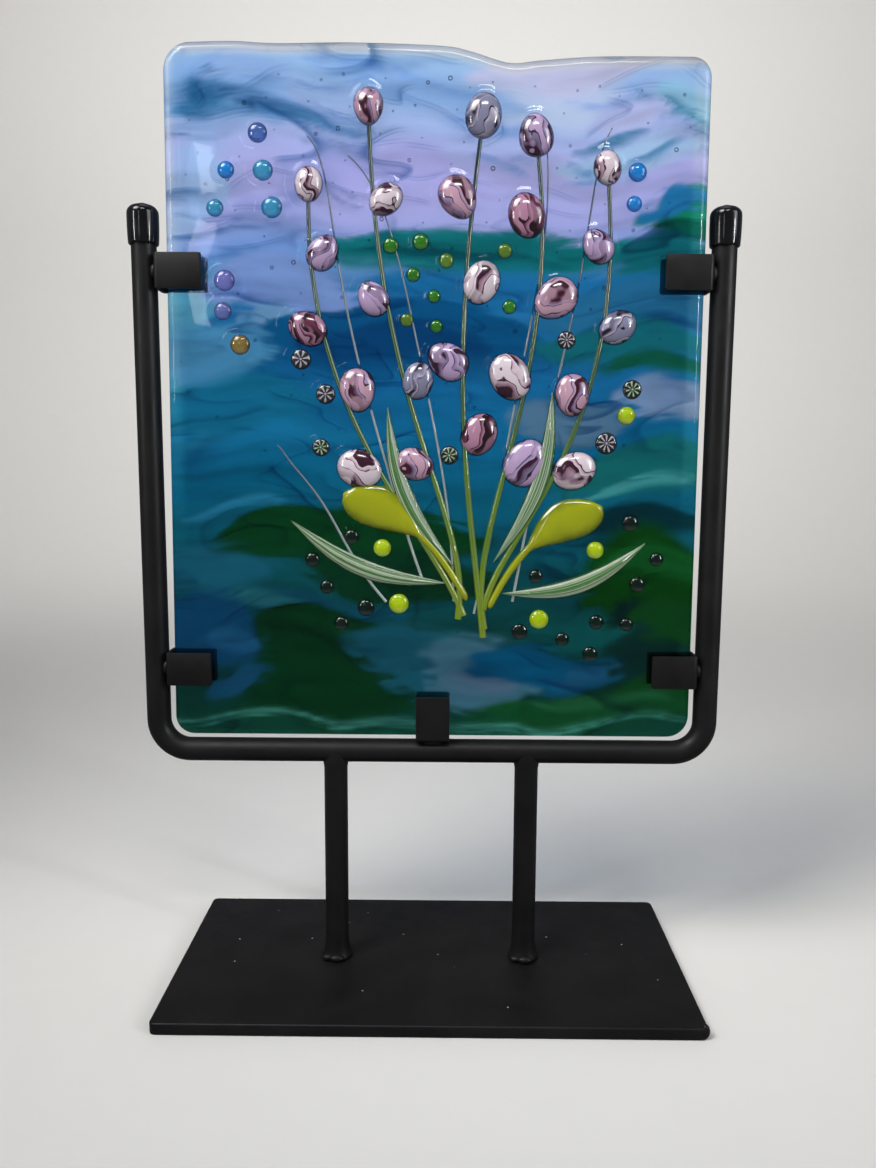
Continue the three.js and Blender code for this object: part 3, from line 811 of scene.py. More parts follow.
# An upright's outline in millimetres: beyond the foot's or the bar's radius, and above the base or the bar
FOOT_LINE = ((-0.5, 0), (0, 0.5), (-0.05, 1.2), (-0.35, 2.1))
POST_LINE = ((1.1, 3.4), (0.66, 5.2), (0.3, 7.6), (0.08, 10.4), (0, 13))
NECK_LINE = ((0, -9), (0.12, -8), (0.4, -6.8), (0.4, 0))
# Weld metal on the front of the foot: place and half sizes in millimetres
FOOT_WELDS = (((0.4, 0.5, 2), (3.8, 2.4, 2)), ((-4, 2, 1.8), (3.2, 2.2, 1.7)))


def build_uprights():
    low, high = FOOT_BOX
    middle = (low.x + high.x) / 2
    foot = (high.x - low.x) / 2
    ground = BASE_BOX[1].z
    profile = []
    for radius, level, line in (
        (foot, ground, FOOT_LINE),
        (BAR_RADIUS, ground, POST_LINE),
        (BAR_RADIUS, BAR_LOW, NECK_LINE),
    ):
        profile += [(radius + beyond * MM, level + above * MM) for beyond, above in line]
    for word, side in SIDES.items():
        post = turned("stand_upright_" + word, side * middle, profile)
        for shift, size in FOOT_WELDS:
            add_weld(post, Vector((side * middle, -foot, ground)) + Vector(shift) * MM, size)
        # Its top is hollowed to sit on the bar
        fresh()
        round_bar = {"vertices": 64, "radius": BAR_RADIUS + 0.02 * MM, "depth": 40 * MM}
        place = (side * middle, 0, BAR_LOW)
        bpy.ops.mesh.primitive_cylinder_add(**round_bar, location=place, rotation=(0, math.pi / 2, 0))
        merge_solid(post, named("saddle"), "DIFFERENCE")
        settle(post, powder_coat(), "black_coat", "upright_" + word, angle=50)


# A clip's reach from its back to its mouth, its width, how far its weld lies behind its back and in front
# of the bar's middle, and the weld's half sizes, all in millimetres
CLIP_KINDS = {
    "side": {"reach": 23, "wide": 16.6, "weld_back": 1.3, "weld_front": 3.4, "weld": (2.1, 2.6, 3.6)},
    "low": {"reach": 23.4, "wide": 17, "weld_back": 1.4, "weld_front": 3.2, "weld": (5.1, 2.8, 2.1)},
}


def build_clip(node, settings, mouth):
    """A strip folded into a channel whose mouth opens along a direction: +x, -x or +z."""
    low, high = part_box(node)
    mouth = Vector(mouth)
    across = Vector((0, 1, 0))
    along = mouth.cross(across)
    kind = CLIP_KINDS["low" if mouth.z else "side"]
    half_deep = (high.y - low.y) / 2 - settings.strip / 2
    reach = kind["reach"] * MM - settings.strip / 2
    # The box holds the weld behind the channel too, so the channel's back is measured from its mouth
    front = (low + high) / 2 + mouth * abs((high - low).dot(mouth)) / 2
    front.y = 0
    back = front - mouth * reach
    fresh()
    bpy.ops.mesh.primitive_plane_add(size=1)
    clip = bpy.context.active_object
    turn = Matrix((across, along, mouth)).transposed().to_4x4()
    size = Matrix.Diagonal((2 * half_deep, kind["wide"] * MM, 1, 1))
    clip.matrix_world = Matrix.Translation(back) @ turn @ size
    named("stand_" + node)
    edit(clip)
    pick("edges", lambda edge: all(abs(vert.co.y - edge.verts[0].co.y) < 0.01 * MM for vert in edge.verts))
    draw_out(mouth * reach)
    pick("edges", lambda edge: len(edge.link_faces) == 2)
    bpy.ops.mesh.bevel(offset=settings.fold - settings.strip / 2, segments=6, affect="EDGES")
    pick("verts", lambda vert: abs((vert.co - front).dot(mouth)) < 0.01 * MM)
    bpy.ops.mesh.bevel(offset=1.1 * MM, segments=4, affect="VERTICES")
    face_out()
    leave()
    modify(clip, "SOLIDIFY", thickness=settings.strip, offset=0, use_even_offset=True)
    modify(clip, "BEVEL", width=0.28 * MM, segments=2, limit_method="ANGLE", angle_limit=math.radians(50))
    weld = back - (mouth * kind["weld_back"] + across * kind["weld_front"]) * MM
    add_weld(clip, weld, kind["weld"])
    settle(clip, powder_coat(), "black_coat", node, angle=35)


# Glass sheet


# Heights of the sagged top edge, in millimetres, which a smooth line runs through
TOP_EDGE = [
    (-114.5, 459.2), (-94, 459.6), (-74, 458.7), (-39, 459.1), (2.6, 457.8),
    (17, 455.3), (35, 450.3), (50, 451.4), (78, 453.2), (120.5, 453.2),
]
CORNERS = {(-1, -1): 9.5 * MM, (1, -1): 11 * MM, (-1, 1): 13 * MM, (1, 1): 9.5 * MM}
# How far each side has run out at the bottom
FLARE = {"left": 3.5 * MM, "right": 1.1 * MM}


def smooth_line(knots, steps=20):
    """Points of the smooth line through the knots, with its ends held."""
    knots = np.array([knots[0], *knots, knots[-1]], float)
    t = np.linspace(0, 1, steps, endpoint=False)[:, None]
    spans = []
    for before, a, b, after in zip(knots, knots[1:], knots[2:], knots[3:]):
        pull_a, pull_b = (b - before) / 2, (after - a) / 2
        spans.append(
            (2 * t**3 - 3 * t**2 + 1) * a
            + (t**3 - 2 * t**2 + t) * pull_a
            + (3 * t**2 - 2 * t**3) * b
            + (t**3 - t**2) * pull_b
        )
    return np.vstack([*spans, knots[-1:]])


EDGE_LINE = smooth_line(TOP_EDGE) * MM


def panel_place(u, v, inset):
    """Where points of a square from -1 to 1 lie on the panel, its outline drawn in by an inset."""
    low, high = PANEL_BOX
    left, right = low.x + FLARE["left"], high.x - FLARE["right"]
    out_left, out_right = FLARE["left"] / left, FLARE["right"] / right
    left, right = left + inset, right - inset
    bottom = low.z + inset
    x = left + (right - left) * (u + 1) / 2
    top = np.interp(x, *EDGE_LINE.T) - inset
    z = bottom + (top - bottom) * (v + 1) / 2
    for (side, way), radius in CORNERS.items():
        radius = radius - inset
        edge_z = EDGE_LINE[-1 if side > 0 else 0, 1] - inset if way > 0 else bottom
        centre_x = (right if side > 0 else left) - side * radius
        centre_z = edge_z - way * radius
        a = np.maximum((x - centre_x) * side / radius, 0)
        b = np.maximum((z - centre_z) * way / radius, 0)
        inside = (a > 0) & (b > 0)
        round_x = centre_x + side * radius * a * np.sqrt(np.maximum(1 - b * b / 2, 0))
        round_z = centre_z + way * radius * b * np.sqrt(np.maximum(1 - a * a / 2, 0))
        x, z = np.where(inside, round_x, x), np.where(inside, round_z, z)
    return x + np.where(x < 0, -out_left, out_right) * x * below_top(z), z


def below_top(z):
    """How far down the panel a height is, from 0 at its top corner to 1 at its foot."""
    top, foot = EDGE_LINE[0, 1], PANEL_BOX[0].z
    return (top - z) / (top - foot)


def edge_shares(x, z):
    """How thin the glass is near its edges, how clear its top rim is, and how strong the painted highlight lines
    along its top and left edge are.
    """
    low, high = PANEL_BOX
    up = (z - low.z) / (high.z - low.z)
    near = np.minimum(x - low.x, high.x - x) / MM
    thin = eased((THIN_EDGE["in"] - near) / THIN_EDGE["soft"]) * eased(3 * up - 0.6)
    below = (np.interp(x, *EDGE_LINE.T) - z) / MM
    rim = TOP_RIM["share"] * eased((TOP_RIM["in"] - below) / TOP_RIM["soft"])
    # Painted highlights: a white line where the top edge turns down, and one down the upper left edge
    line = RIM_PAINTED_HIGHLIGHT["share"] * eased(1.2 - np.abs(below - RIM_PAINTED_HIGHLIGHT["at"]) / RIM_PAINTED_HIGHLIGHT["half"])
    inward = (x - low.x - FLARE["left"] * (1 - below_top(z))) / MM
    room = eased((z / MM - SIDE_PAINTED_HIGHLIGHT["low"]) / (SIDE_PAINTED_HIGHLIGHT["high"] - SIDE_PAINTED_HIGHLIGHT["low"])) * eased(below / 5 - 1)
    side = SIDE_PAINTED_HIGHLIGHT["share"] * eased(1.2 - np.abs(inward - SIDE_PAINTED_HIGHLIGHT["at"]) / SIDE_PAINTED_HIGHLIGHT["half"]) * room
    return thin, rim, np.maximum(line * eased(near / 6 - 0.6), side)


# Raised design. Turns by the golden angle give each bud and dot its own place, size and lean.


def table(names, *rows):
    """Rows of values, each with its name."""
    return [dict(zip(names.split(), row)) for row in rows]


SPRAY = {"x": 14, "foot": 182, "stems": 5}
STEM_POINTS = table(
    "shift spread height drop sway",
    (8, 4, 0, -1.2, 5),
    (4, 4, 56, 0, 9),
    (0, 42, 116, 5, 9),
    (0, 37, 243, 9, 9),
)
BUD = {"count": 5, "half": 11.2, "wide": 9.1, "rise": 4.8, "offset": 7.6, "taper": 0.16, "lean": 0.62}
BUD_START = {"even": 0.5, "odd": 0.465}
# How much the buds and the dots differ, each by its own wobble
BUD_SPREAD = {"size": 0.12, "lean": 0.36, "egg": 0.12}
DOT_SPREAD = 0.12
# Circles that keep the dots clear: a stem's radius, how far from a bud's middle its two lie, as a share of
# its half length, and their radius, as a share of its length and width
CLEAR = {"stem": 0.8, "bud_shift": 0.3, "bud_size": 0.45}
# How far out a blade is widest, and how full it is, follow the kind of leaf
LEAF = {
    "rise": 2.8,
    "stalk_half": 2,
    "tip_half": 0.5,
    "paddle": (1.6, 0.65),
    "slender": (1, 0.9),
    # How steeply its ends close, a paddle's fuller rise, a slender one's grooves, and its shallow underside
    "ends": 14,
    "full": 1.15,
    "groove": 0.3,
    "under": 0.3,
}
LEAVES = table(
    "base tip half stalk bow",
    ((18, 196), (-44, 250), 11.5, 0.44, -9),
    ((28, 192), (84, 244), 11, 0.42, 9),
    ((8, 205), (-70, 236), 4.6, 0, 9),
    ((34, 200), (106, 226), 4.6, 0, -9),
    ((12, 212), (-22, 292), 4.4, 0, 9),
    ((30, 215), (58, 300), 4.4, 0, -9),
)
LEAF_GLASS = {
    "paddle": ("lime_leaf", (190, 196, 18), (88, 112, 6), 0.45, None, 1.0),
    "slender": ("streaked_leaf", (84, 138, 66), (22, 66, 34), 0.4, (200, 212, 190), 1.0),
}
DOT_GAP = 1.5
DOTS = table(
    "name centre spread count radius phase rise",
    ("turquoise", (-86, 398), 11, 5, 4.6, 0.5, 2.6),
    ("lilac", (-98, 346), 9, 2, 4.8, 2.0, 2.4),
    ("amber", (-92, 318), 5, 1, 4.6, 2.0, 2.4),
    ("sky", (98, 396), 9, 2, 4.2, 2.0, 2.6),
    ("leaf", (10, 345), 8.5, 9, 3.6, 0.9, 2.0),
    ("cane", (14, 300), 12, 7, 5.0, 0.3, 1.6),
    ("lime", (20, 262), 17, 5, 5.0, 0.2, 3.0),
    ("bottle", (70, 212), 9, 9, 3.9, 0, 2.0),
    ("bottle", (-34, 206), 9, 5, 3.9, 0, 2.0),
)
# Light colour, deep colour, which is painted towards the rim as shade, and how clear the glass is
DOT_GLASS = {
    "turquoise": ((72, 176, 208), (24, 116, 164), 0.55),
    "steel": ((104, 140, 192), (64, 104, 164), 0.8),
    "lilac": ((176, 168, 220), (128, 122, 186), 0.8),
    "amber": ((176, 142, 70), (112, 88, 40), 0.6),
    "sky": ((24, 148, 220), (4, 92, 176), 0.5),
    "leaf": ((66, 160, 34), (14, 84, 18), 0.6),
    "moss": ((128, 172, 48), (60, 108, 24), 0.65),
    "lime": ((178, 204, 18), (128, 154, 8), 0.2),
    "bottle": ((6, 40, 26), (1, 12, 8), 0.6),
}
# Groups whose dots take turns at several glasses
DOT_TURNS = {
    "turquoise": ("turquoise", "turquoise", "sky", "turquoise", "steel"),
    "leaf": ("leaf", "leaf", "moss"),
}
GOLDEN = math.pi * (3 - math.sqrt(5))


def wobble(n):
    return math.sin(n * GOLDEN * 1.7 + 0.4)


def side_of(stem):
    """Which stem from the middle one, counted from the left: -2, -1, 0, 1, 2"""
    return stem - (SPRAY["stems"] - 1) / 2


def stem_pull(stem):
    """The four points that pull a stem's curve, as (x, z) in millimetres."""
    side = side_of(stem)
    pull = []
    for i, point in enumerate(STEM_POINTS):
        x = SPRAY["x"] + point["shift"] + point["spread"] * side + point["sway"] * wobble(stem + i)
        sag = point["drop"] * side * side
        pull.append((x, SPRAY["foot"] + point["height"] - sag + point["sway"] * wobble(2 * stem + i)))
    return np.array(pull)


def on_curve(pull, t):
    """A point of the curve that four points pull, and its direction."""
    s = 1 - t
    point = s**3 * pull[0] + 3 * s * s * t * pull[1] + 3 * s * t * t * pull[2] + t**3 * pull[3]
    run = s * s * (pull[1] - pull[0]) + 2 * s * t * (pull[2] - pull[1]) + t * t * (pull[3] - pull[2])
    return point, run / np.hypot(*run)


def bud_places():
    places = []
    for stem in range(SPRAY["stems"]):
        pull = stem_pull(stem)
        start = BUD_START["odd" if stem % 2 else "even"]
        for i in range(BUD["count"]):
            along = i / (BUD["count"] - 1)
            point, run = on_curve(pull, start + (1 - start) * (1 - (1 - along) ** 1.25))
            last = i == BUD["count"] - 1
            way = 0 if last else (-1 if i % 2 else 1) * (-1 if side_of(stem) < 0 else 1)
            n = len(places)
            size = 1 - BUD["taper"] * along + BUD_SPREAD["size"] * wobble(3 * n)
            out = way * BUD["offset"] * size
            up = BUD["half"] * size * 0.6 if last else 0
            x, z = point + out * np.array([run[1], -run[0]]) + up * run
            angle = math.atan2(run[1], run[0]) - way * (BUD["lean"] + BUD_SPREAD["lean"] * wobble(n))
            places.append({"x": x, "z": z, "half": BUD["half"] * size, "wide": BUD["wide"] * size, "angle": angle})
    return places


def leaf_at(leaf, t):
    """Middle of a leaf, the way across it and its half width, at a fraction of its length."""
    base, tip = np.array(leaf["base"], float), np.array(leaf["tip"], float)
    run = (tip - base) / np.hypot(*(tip - base))
    across = np.array([-run[1], run[0]])
    middle = base + (tip - base) * t + across * leaf["bow"] * math.sin(math.pi * t)
    blade = max(0, (t - leaf["stalk"]) / (1 - leaf["stalk"]))
    stalk = LEAF["stalk_half"] * (1 - blade**4) if leaf["stalk"] else 0
    out, full = LEAF["paddle"] if leaf["stalk"] else LEAF["slender"]
    swell = leaf["half"] * max(0, math.sin(math.pi * blade**out)) ** full
    return middle, across, max(LEAF["tip_half"], stalk, swell)


def taken_ground(buds):
    """Ground that the stems, leaves and buds take, as circles that the dots keep clear of."""
    taken = []
    for stem in range(SPRAY["stems"]):
        taken += [(*on_curve(stem_pull(stem), t)[0], CLEAR["stem"]) for t in np.arange(31) / 30]
    for leaf in LEAVES:
        for t in np.arange(13) / 12:
            middle, _, half = leaf_at(leaf, t)
            taken.append((*middle, half))
    for bud in buds:
        for way in (-1, 1):
            shift = way * CLEAR["bud_shift"] * bud["half"]
            x = bud["x"] + shift * math.cos(bud["angle"])
            z = bud["z"] + shift * math.sin(bud["angle"])
            taken.append((x, z, CLEAR["bud_size"] * (bud["half"] + bud["wide"])))
    return taken


def scatter_dots(group, taken):
    """Dots of one group, out along a spiral, each where nothing is yet."""
    placed = []
    step = 0
    while len(placed) < group["count"]:
        reach = group["spread"] * math.sqrt(step + 0.3)
        angle = group["phase"] + step * GOLDEN
        x = group["centre"][0] + reach * math.cos(angle)
        z = group["centre"][1] + reach * math.sin(angle)
        radius = group["radius"] * (1 + DOT_SPREAD * wobble(step))
        if all(math.hypot(x - a, z - b) > radius + r + DOT_GAP for a, b, r in taken):
            taken.append((x, z, radius))
            placed.append({"x": x, "z": z, "half": radius, "wide": radius, "angle": 0})
        step += 1
    return placed


BUDS = bud_places()
TAKEN = taken_ground(BUDS)
DOT_PLACES = [(group, scatter_dots(group, TAKEN)) for group in DOTS]


# A raised piece's underside is this much shallower than its front
UNDERSIDE = 0.35
# The sheet's front before its relief
PANEL_FACE = GLASS_BACK - 7.5 * MM


def own_place(x, z, blob):
    """Places as seen from a raised blob: across its length and width, one at its rim."""
    dx, dz = x - blob["x"] * MM, z - blob["z"] * MM
    cos, sin = math.cos(blob["angle"]), math.sin(blob["angle"])
    return (dx * cos + dz * sin) / (blob["half"] * MM), (dz * cos - dx * sin) / (blob["wide"] * MM)


# Glass drawn up round the raised pieces: how high and how far out, in millimetres, and the share of a
# piece's half width where it starts
BANKS = {"bud": (1.1, 2.4), "dot": (0.6, 1.8)}
BANK_START = 0.97


def relief(x, z, settings):
    """How far the sheet's front stands out: slow waves, and the glass drawn up round each raised piece."""
    waves = np.sin(x / 0.021 + 1.3 * np.sin(z / 0.043)) + np.sin(z / 0.017 + 1.1 * np.sin(x / 0.036 + 1))
    height = settings.wave * (waves + 0.5 * np.sin((x + z) / 0.011)) / 2
    blobs = [(bud, BANKS["bud"]) for bud in BUDS]
    blobs += [(dot, BANKS["dot"]) for _, dots in DOT_PLACES for dot in dots]
    for blob, (rise, run) in blobs:
        beyond = (np.hypot(*own_place(x, z, blob)) - BANK_START) * blob["wide"]
        bank = rise * MM * np.exp(-((np.maximum(beyond, 0) / run) ** 2))
        height = np.maximum(height, bank + height * np.clip(beyond / (3 * run), 0, 1))
    return height


def grid(name, columns, rows):
    fresh()
    bpy.ops.mesh.primitive_grid_add(x_subdivisions=columns, y_subdivisions=rows, size=2)
    return named(name)


def rim_rings(settings):
    """The rounded front edge and back edge, as rings: how far in, how deep, and their share of the relief."""
    front_steps, back_steps = 8, 3
    rings = []
    for turn in np.linspace(0, math.pi / 2, front_steps + 1)[1:]:
        share = math.cos(turn)
        rings.append((settings.soft_edge * (1 - math.sin(turn)), settings.soft_depth * (1 - share), share))
    for turn in np.linspace(0, math.pi / 2, back_steps + 1):
        inset, rest = settings.back_edge * (1 - math.cos(turn)), settings.back_edge * (1 - math.sin(turn))
        rings.append((inset, settings.thick - rest, 0))
    return rings


def build_sheet(settings):
    """A grid fitted to the outline, its rim drawn down in rings to a coarser grid at the back."""
    low, high = PANEL_BOX
    columns, rows = (round(side / settings.cell / 2) for side in (high.x - low.x, high.z - low.z))
    back = grid("back", columns, rows)
    edit(back)
    pick_all()
    bpy.ops.mesh.flip_normals()
    leave()
    sheet = grid("fused_sheet", 2 * columns, 2 * rows)
    layout = [(points(sheet), settings.soft_edge, 0, 1)]
    edit(sheet)
    pick("edges", lambda edge: len(edge.link_faces) == 1)
    for inset, depth, share in rim_rings(settings):
        bpy.ops.mesh.extrude_region_move()
        mesh = bmesh.from_edit_mesh(sheet.data)
        mesh.verts.ensure_lookup_table()
        ring = np.array([vert.co[:] for vert in mesh.verts[sum(len(part[0]) for part in layout) :]])
        layout.append((ring, inset, depth, share))
    leave()
    layout.append((points(back), settings.back_edge + 2 * settings.cell, settings.thick, 0))
    only(sheet)
    back.select_set(True)
    bpy.ops.object.join()
    placed = []
    for square, inset, depth, share in layout:
        x, z = panel_place(square[:, 0], square[:, 1], inset)
        y = GLASS_BACK - settings.thick + depth - share * relief(x, z, settings)
        placed.append(np.column_stack([x, y, z]))
    placed = np.vstack(placed)
    set_points(sheet, placed)
    shares = edge_shares(placed[:, 0], placed[:, 2])
    x, z = flowed(placed[:, 0] / MM, placed[:, 2] / MM)
    for name, way in (("laid_above", 0.5), ("laid_below", -0.5)):
        keep_attribute(sheet, name, laid_colours(x + way * FRAY[0], z + way * FRAY[1], *shares))
    keep_attribute(sheet, "flow", np.column_stack([x, np.zeros(len(x)), z]) * MM)
    edit(sheet)
    pick("edges", lambda edge: len(edge.link_faces) == 1)
    bpy.ops.mesh.bridge_edge_loops()
    face_out()
    leave()
    sheet.data.materials.append(streaky_glass())
    return sheet


def bubble_spots(settings):
    """Places and sizes of the bubbles, thicker in the upper part and clear of the edges."""
    clear, clear_top = 8 * MM, 14 * MM
    spots = []
    step = 0
    low, high = PANEL_BOX
    while len(spots) < settings.bubbles:
        step += 1
        across, up, chance, own = (step * pace % 1 for pace in (0.754877666, 0.569840290, 0.438579, 0.8191725))
        if chance > 0.1 + 0.9 * up**1.5:
            continue
        x = low.x + clear + (high.x - low.x - 2 * clear) * across
        z = low.z + clear + (high.z - low.z - clear - clear_top) * up
        y = GLASS_BACK - settings.thick * (0.5 + 0.3 * chance)
        spots.append(((x, y, z), (0.45 + 0.75 * own**4) * MM))
    return spots


def add_bubbles(sheet, settings):
    """Air bubbles sealed in the sheet."""
    fresh()
    bpy.ops.mesh.primitive_ico_sphere_add(subdivisions=2, radius=1)
    first = named("bubble")
    # The rim, measured across the front view, places each bubble's painted dark ring
    keep_attribute(first, "rim", np.hypot(*points(first)[:, ::2].T))
    first.data.materials.append(bubble_glass())
    bubbles = []
    for place, size in bubble_spots(settings):
        bubble = first.copy()
        bubble.data = first.data.copy()
        link(bubble)
        bubble.matrix_world = Matrix.Translation(place) @ Matrix.Scale(size, 4)
        bubbles.append(bubble)
    bpy.data.objects.remove(first)
    only(sheet)
    for bubble in bubbles:
        bubble.select_set(True)
    bpy.ops.object.join()


def blob_piece(name, blob, rise, number, segments=32, rings=18, egg=0.0, flat=0.0):
    """A melted blob: a ball pressed to its length, width and rise, its underside sunk in the sheet."""
    piece = ball(name, segments, rings, rotation=(math.pi / 2, 0, 0))
    round_place = points(piece)
    keep_attribute(piece, "bud_place", round_place)
    keep_attribute(piece, "bud_number", np.full(len(round_place), float(number)))
    keep_attribute(piece, "rim", np.hypot(*round_place[:, ::2].T))
    edit(piece)
    pick("verts", lambda vert: vert.co.y > 0.001)
    bpy.ops.transform.resize(value=(1, UNDERSIDE, 1), center_override=(0, 0, 0))
    pick_all()
    bpy.ops.transform.resize(value=(blob["half"] * MM, rise * MM, blob["wide"] * MM), center_override=(0, 0, 0))
    leave()
    along, out, across = points(piece).T
    across = across * (1 + egg * round_place[:, 0])
    if flat:
        out = np.maximum(out, -flat * MM)
    cos, sin = math.cos(blob["angle"]), math.sin(blob["angle"])
    x = blob["x"] * MM + along * cos - across * sin
    z = blob["z"] * MM + along * sin + across * cos
    set_points(piece, np.column_stack([x, out + PANEL_FACE + 0.1 * rise * MM, z]))
    return piece


def build_buds():
    for number, bud in enumerate(BUDS):
        kind = BUD_ORDER[3 * number % len(BUD_ORDER)]
        egg = BUD_SPREAD["egg"] * wobble(5 * number)
        piece = blob_piece(f"bud_{number + 1:02d}", bud, BUD["rise"], number, egg=egg)
        settle(piece, marbled_glass(kind), "marbled_glass", angle=80)


def build_dots():
    numbers = {}
    for group, dots in DOT_PLACES:
        name, rise = group["name"], group["rise"]
        for dot in dots:
            number = numbers[name] = numbers.get(name, 0) + 1
            label = f"dot_{name}_{number:02d}"
            if name == "cane":
                piece = blob_piece(label, dot, rise * 1.5, number, 28, 14, flat=rise)
                finish = cane_glass()
            else:
                piece = blob_piece(label, dot, rise, number, 24, 14)
                turns = DOT_TURNS.get(name, (name,))
                glass = turns[number % len(turns)]
                finish = accent_glass(glass, *DOT_GLASS[glass])
            settle(piece, finish, "accent_glass", angle=80)


def build_leaves():
    """Each leaf is a pressed ball drawn out along its middle line."""
    for number, leaf in enumerate(LEAVES):
        paddle = leaf["stalk"] > 0
        piece = ball(f"leaf_{number + 1}", 28, 56)
        x, y, z = points(piece).T
        length_share = np.arccos(np.clip(-z, -1, 1)) / math.pi
        ring = np.maximum(np.hypot(x, y), 1e-9)
        across, out = x / ring, -y / ring
        keep_attribute(piece, "rim", np.where(ring > 1e-6, np.abs(across), 1.0))
        keep_attribute(piece, "lane", across + number)
        shape = []
        for t, side, lift in zip(length_share, across, out):
            middle, way, half = leaf_at(leaf, t)
            close = min(1.0, (1 - abs(2 * t - 1)) * LEAF["ends"]) ** 0.5
            rise = LEAF["rise"] * (0.55 + 0.45 * min(1, half / 4)) * close * (LEAF["full"] if paddle else 1)
            x, z = middle + way * side * half * close
            groove = LEAF["groove"] * math.cos(3 * math.pi * side) * (not paddle) * close * max(lift, 0)
            y = -(rise * lift + groove) if lift > 0 else -LEAF["under"] * rise * lift
            shape.append((x * MM, PANEL_FACE + 0.1 * MM + y * MM, z * MM))
        set_points(piece, shape)
        edit(piece)
        close_up()
        settle(piece, accent_glass(*LEAF_GLASS["paddle" if paddle else "slender"]), "green_glass", angle=80)


def rod(kind, number, pull, sink, steps, size, sway=lambda t: 0, resolution=2):
    """A rod of glass along a pulled curve. Its radius goes by size, and it lies a little off by sway."""
    name = f"{kind}_{number + 1}"
    curve = bpy.data.curves.new(name, "CURVE")
    curve.dimensions = "3D"
    curve.bevel_depth = 1
    curve.bevel_resolution = resolution
    curve.use_fill_caps = True
    spline = curve.splines.new("NURBS")
    spline.points.add(steps)
    spline.use_endpoint_u = True
    spline.order_u = 4
    for i, point in enumerate(spline.points):
        t = i / steps
        (x, z), run = on_curve(pull, t)
        point.co = ((x + sway(t) * run[1]) * MM, PANEL_FACE - sink * MM, (z - sway(t) * run[0]) * MM, 1)
        point.radius = size(t) * MM
    only(link(bpy.data.objects.new(name, curve)))
    bpy.ops.object.convert(target="MESH")
    piece = bpy.context.active_object
    edit(piece)
    close_up()
    height = points(piece)[:, 2]
    keep_attribute(piece, "along", (height - height.min()) / np.ptp(height))
    settle(piece, drawn_glass(kind, *ROD_GLASS[kind]), "green_glass", angle=80)


def build_stems():
    """Each stem thins from a radius of 1.75 mm at its foot to 1 mm at its tip."""
    for stem in range(SPRAY["stems"]):
        rod("stem", stem, stem_pull(stem), 0.15, 24, lambda t: 1.75 - 0.75 * t)


# How clear each rod is, its pale lines, and its colours from foot to tip
ROD_GLASS = {
    "stem": (
        0.3,
        (150, 168, 120),
        ((0.0, (128, 152, 22)), (0.25, (96, 132, 36)), (0.5, (62, 96, 62)), (1.0, (46, 60, 74))),
    ),
    "thread": (
        0.2,
        (190, 196, 200),
        ((0.0, (158, 168, 164)), (0.4, (128, 142, 144)), (0.75, (76, 88, 104)), (1.0, (60, 70, 92))),
    ),
}
# Fine threads laid over the spray: the four points that pull each, and its radius, in millimetres
THREADS = [
    (((-4, 205), (-40, 290), (-46, 402), (-60, 416)), 0.8),
    (((10, 196), (6, 300), (-22, 392), (-40, 408)), 0.7),
    (((20, 190), (46, 296), (58, 404), (52, 424)), 0.7),
    (((40, 196), (62, 300), (74, 400), (84, 420)), 0.8),
    (((-22, 196), (-54, 236), (-66, 268), (-76, 272)), 0.8),
]


def build_threads():
    """Each thread loses more than half of its radius on its way up, and wavers a little."""
    for number, (pull, radius) in enumerate(THREADS):
        taper = lambda t: radius * (1 - 0.55 * t)
        sway = lambda t: 1.2 * math.sin(9 * t + number)
        rod("thread", number, np.array(pull, float), 0.2, 32, taper, sway, resolution=1)


# Operators


class BuildBase(bpy.types.Operator):
    """Model the flat base plate"""

    bl_idname = "glass_panel.base"
    bl_label = "Base plate"

    def execute(self, context):
        build_base(context.scene.stand)
        return {"FINISHED"}


class BuildBar(bpy.types.Operator):
    """Bend the round bar that stands round the panel"""

    bl_idname = "glass_panel.bar"
    bl_label = "Bent bar"

    def execute(self, context):
        build_bar(context.scene.stand)
        return {"FINISHED"}


class BuildCaps(bpy.types.Operator):
    """Model the soft caps on the bar's two ends"""

    bl_idname = "glass_panel.caps"
    bl_label = "End caps"

    def execute(self, context):
        build_caps(context.scene.stand)
        return {"FINISHED"}


class BuildUprights(bpy.types.Operator):
    """Model the two uprights with their welds"""

    bl_idname = "glass_panel.uprights"
    bl_label = "Uprights"

    def execute(self, context):
        build_uprights()
        return {"FINISHED"}


class BuildClips(bpy.types.Operator):
    """Fold the five channel clips"""

    bl_idname = "glass_panel.clips"
    bl_label = "Clips"

    def execute(self, context):
        for word, side in SIDES.items():
            for level in ("upper", "lower"):
                build_clip(f"clip_{level}_{word}", context.scene.stand, (-side, 0, 0))
        build_clip("clip_bottom", context.scene.stand, (0, 0, 1))
        return {"FINISHED"}


class BuildSheet(bpy.types.Operator):
    """Model the glass sheet with its bubbles"""

    bl_idname = "glass_panel.sheet"
    bl_label = "Glass sheet"

    def execute(self, context):
        sheet = build_sheet(context.scene.panel)
        add_bubbles(sheet, context.scene.panel)
        settle(sheet, sheet.data.materials[0], "art_glass", "glass_panel", angle=60)
        return {"FINISHED"}


class BuildDesign(bpy.types.Operator):
    """Lay the buds, leaves, stems, threads and dots on the sheet"""

    bl_idname = "glass_panel.design"
    bl_label = "Raised design"

    def execute(self, context):
        build_stems()
        build_threads()
        build_leaves()
        build_buds()
        build_dots()
        return {"FINISHED"}


# The photograph's view: where the camera stands, and how it is turned
CAMERA = {"at": (6.53, -468.4, 264.84), "pitch": 7.395, "yaw": -0.424, "roll": 0.324}


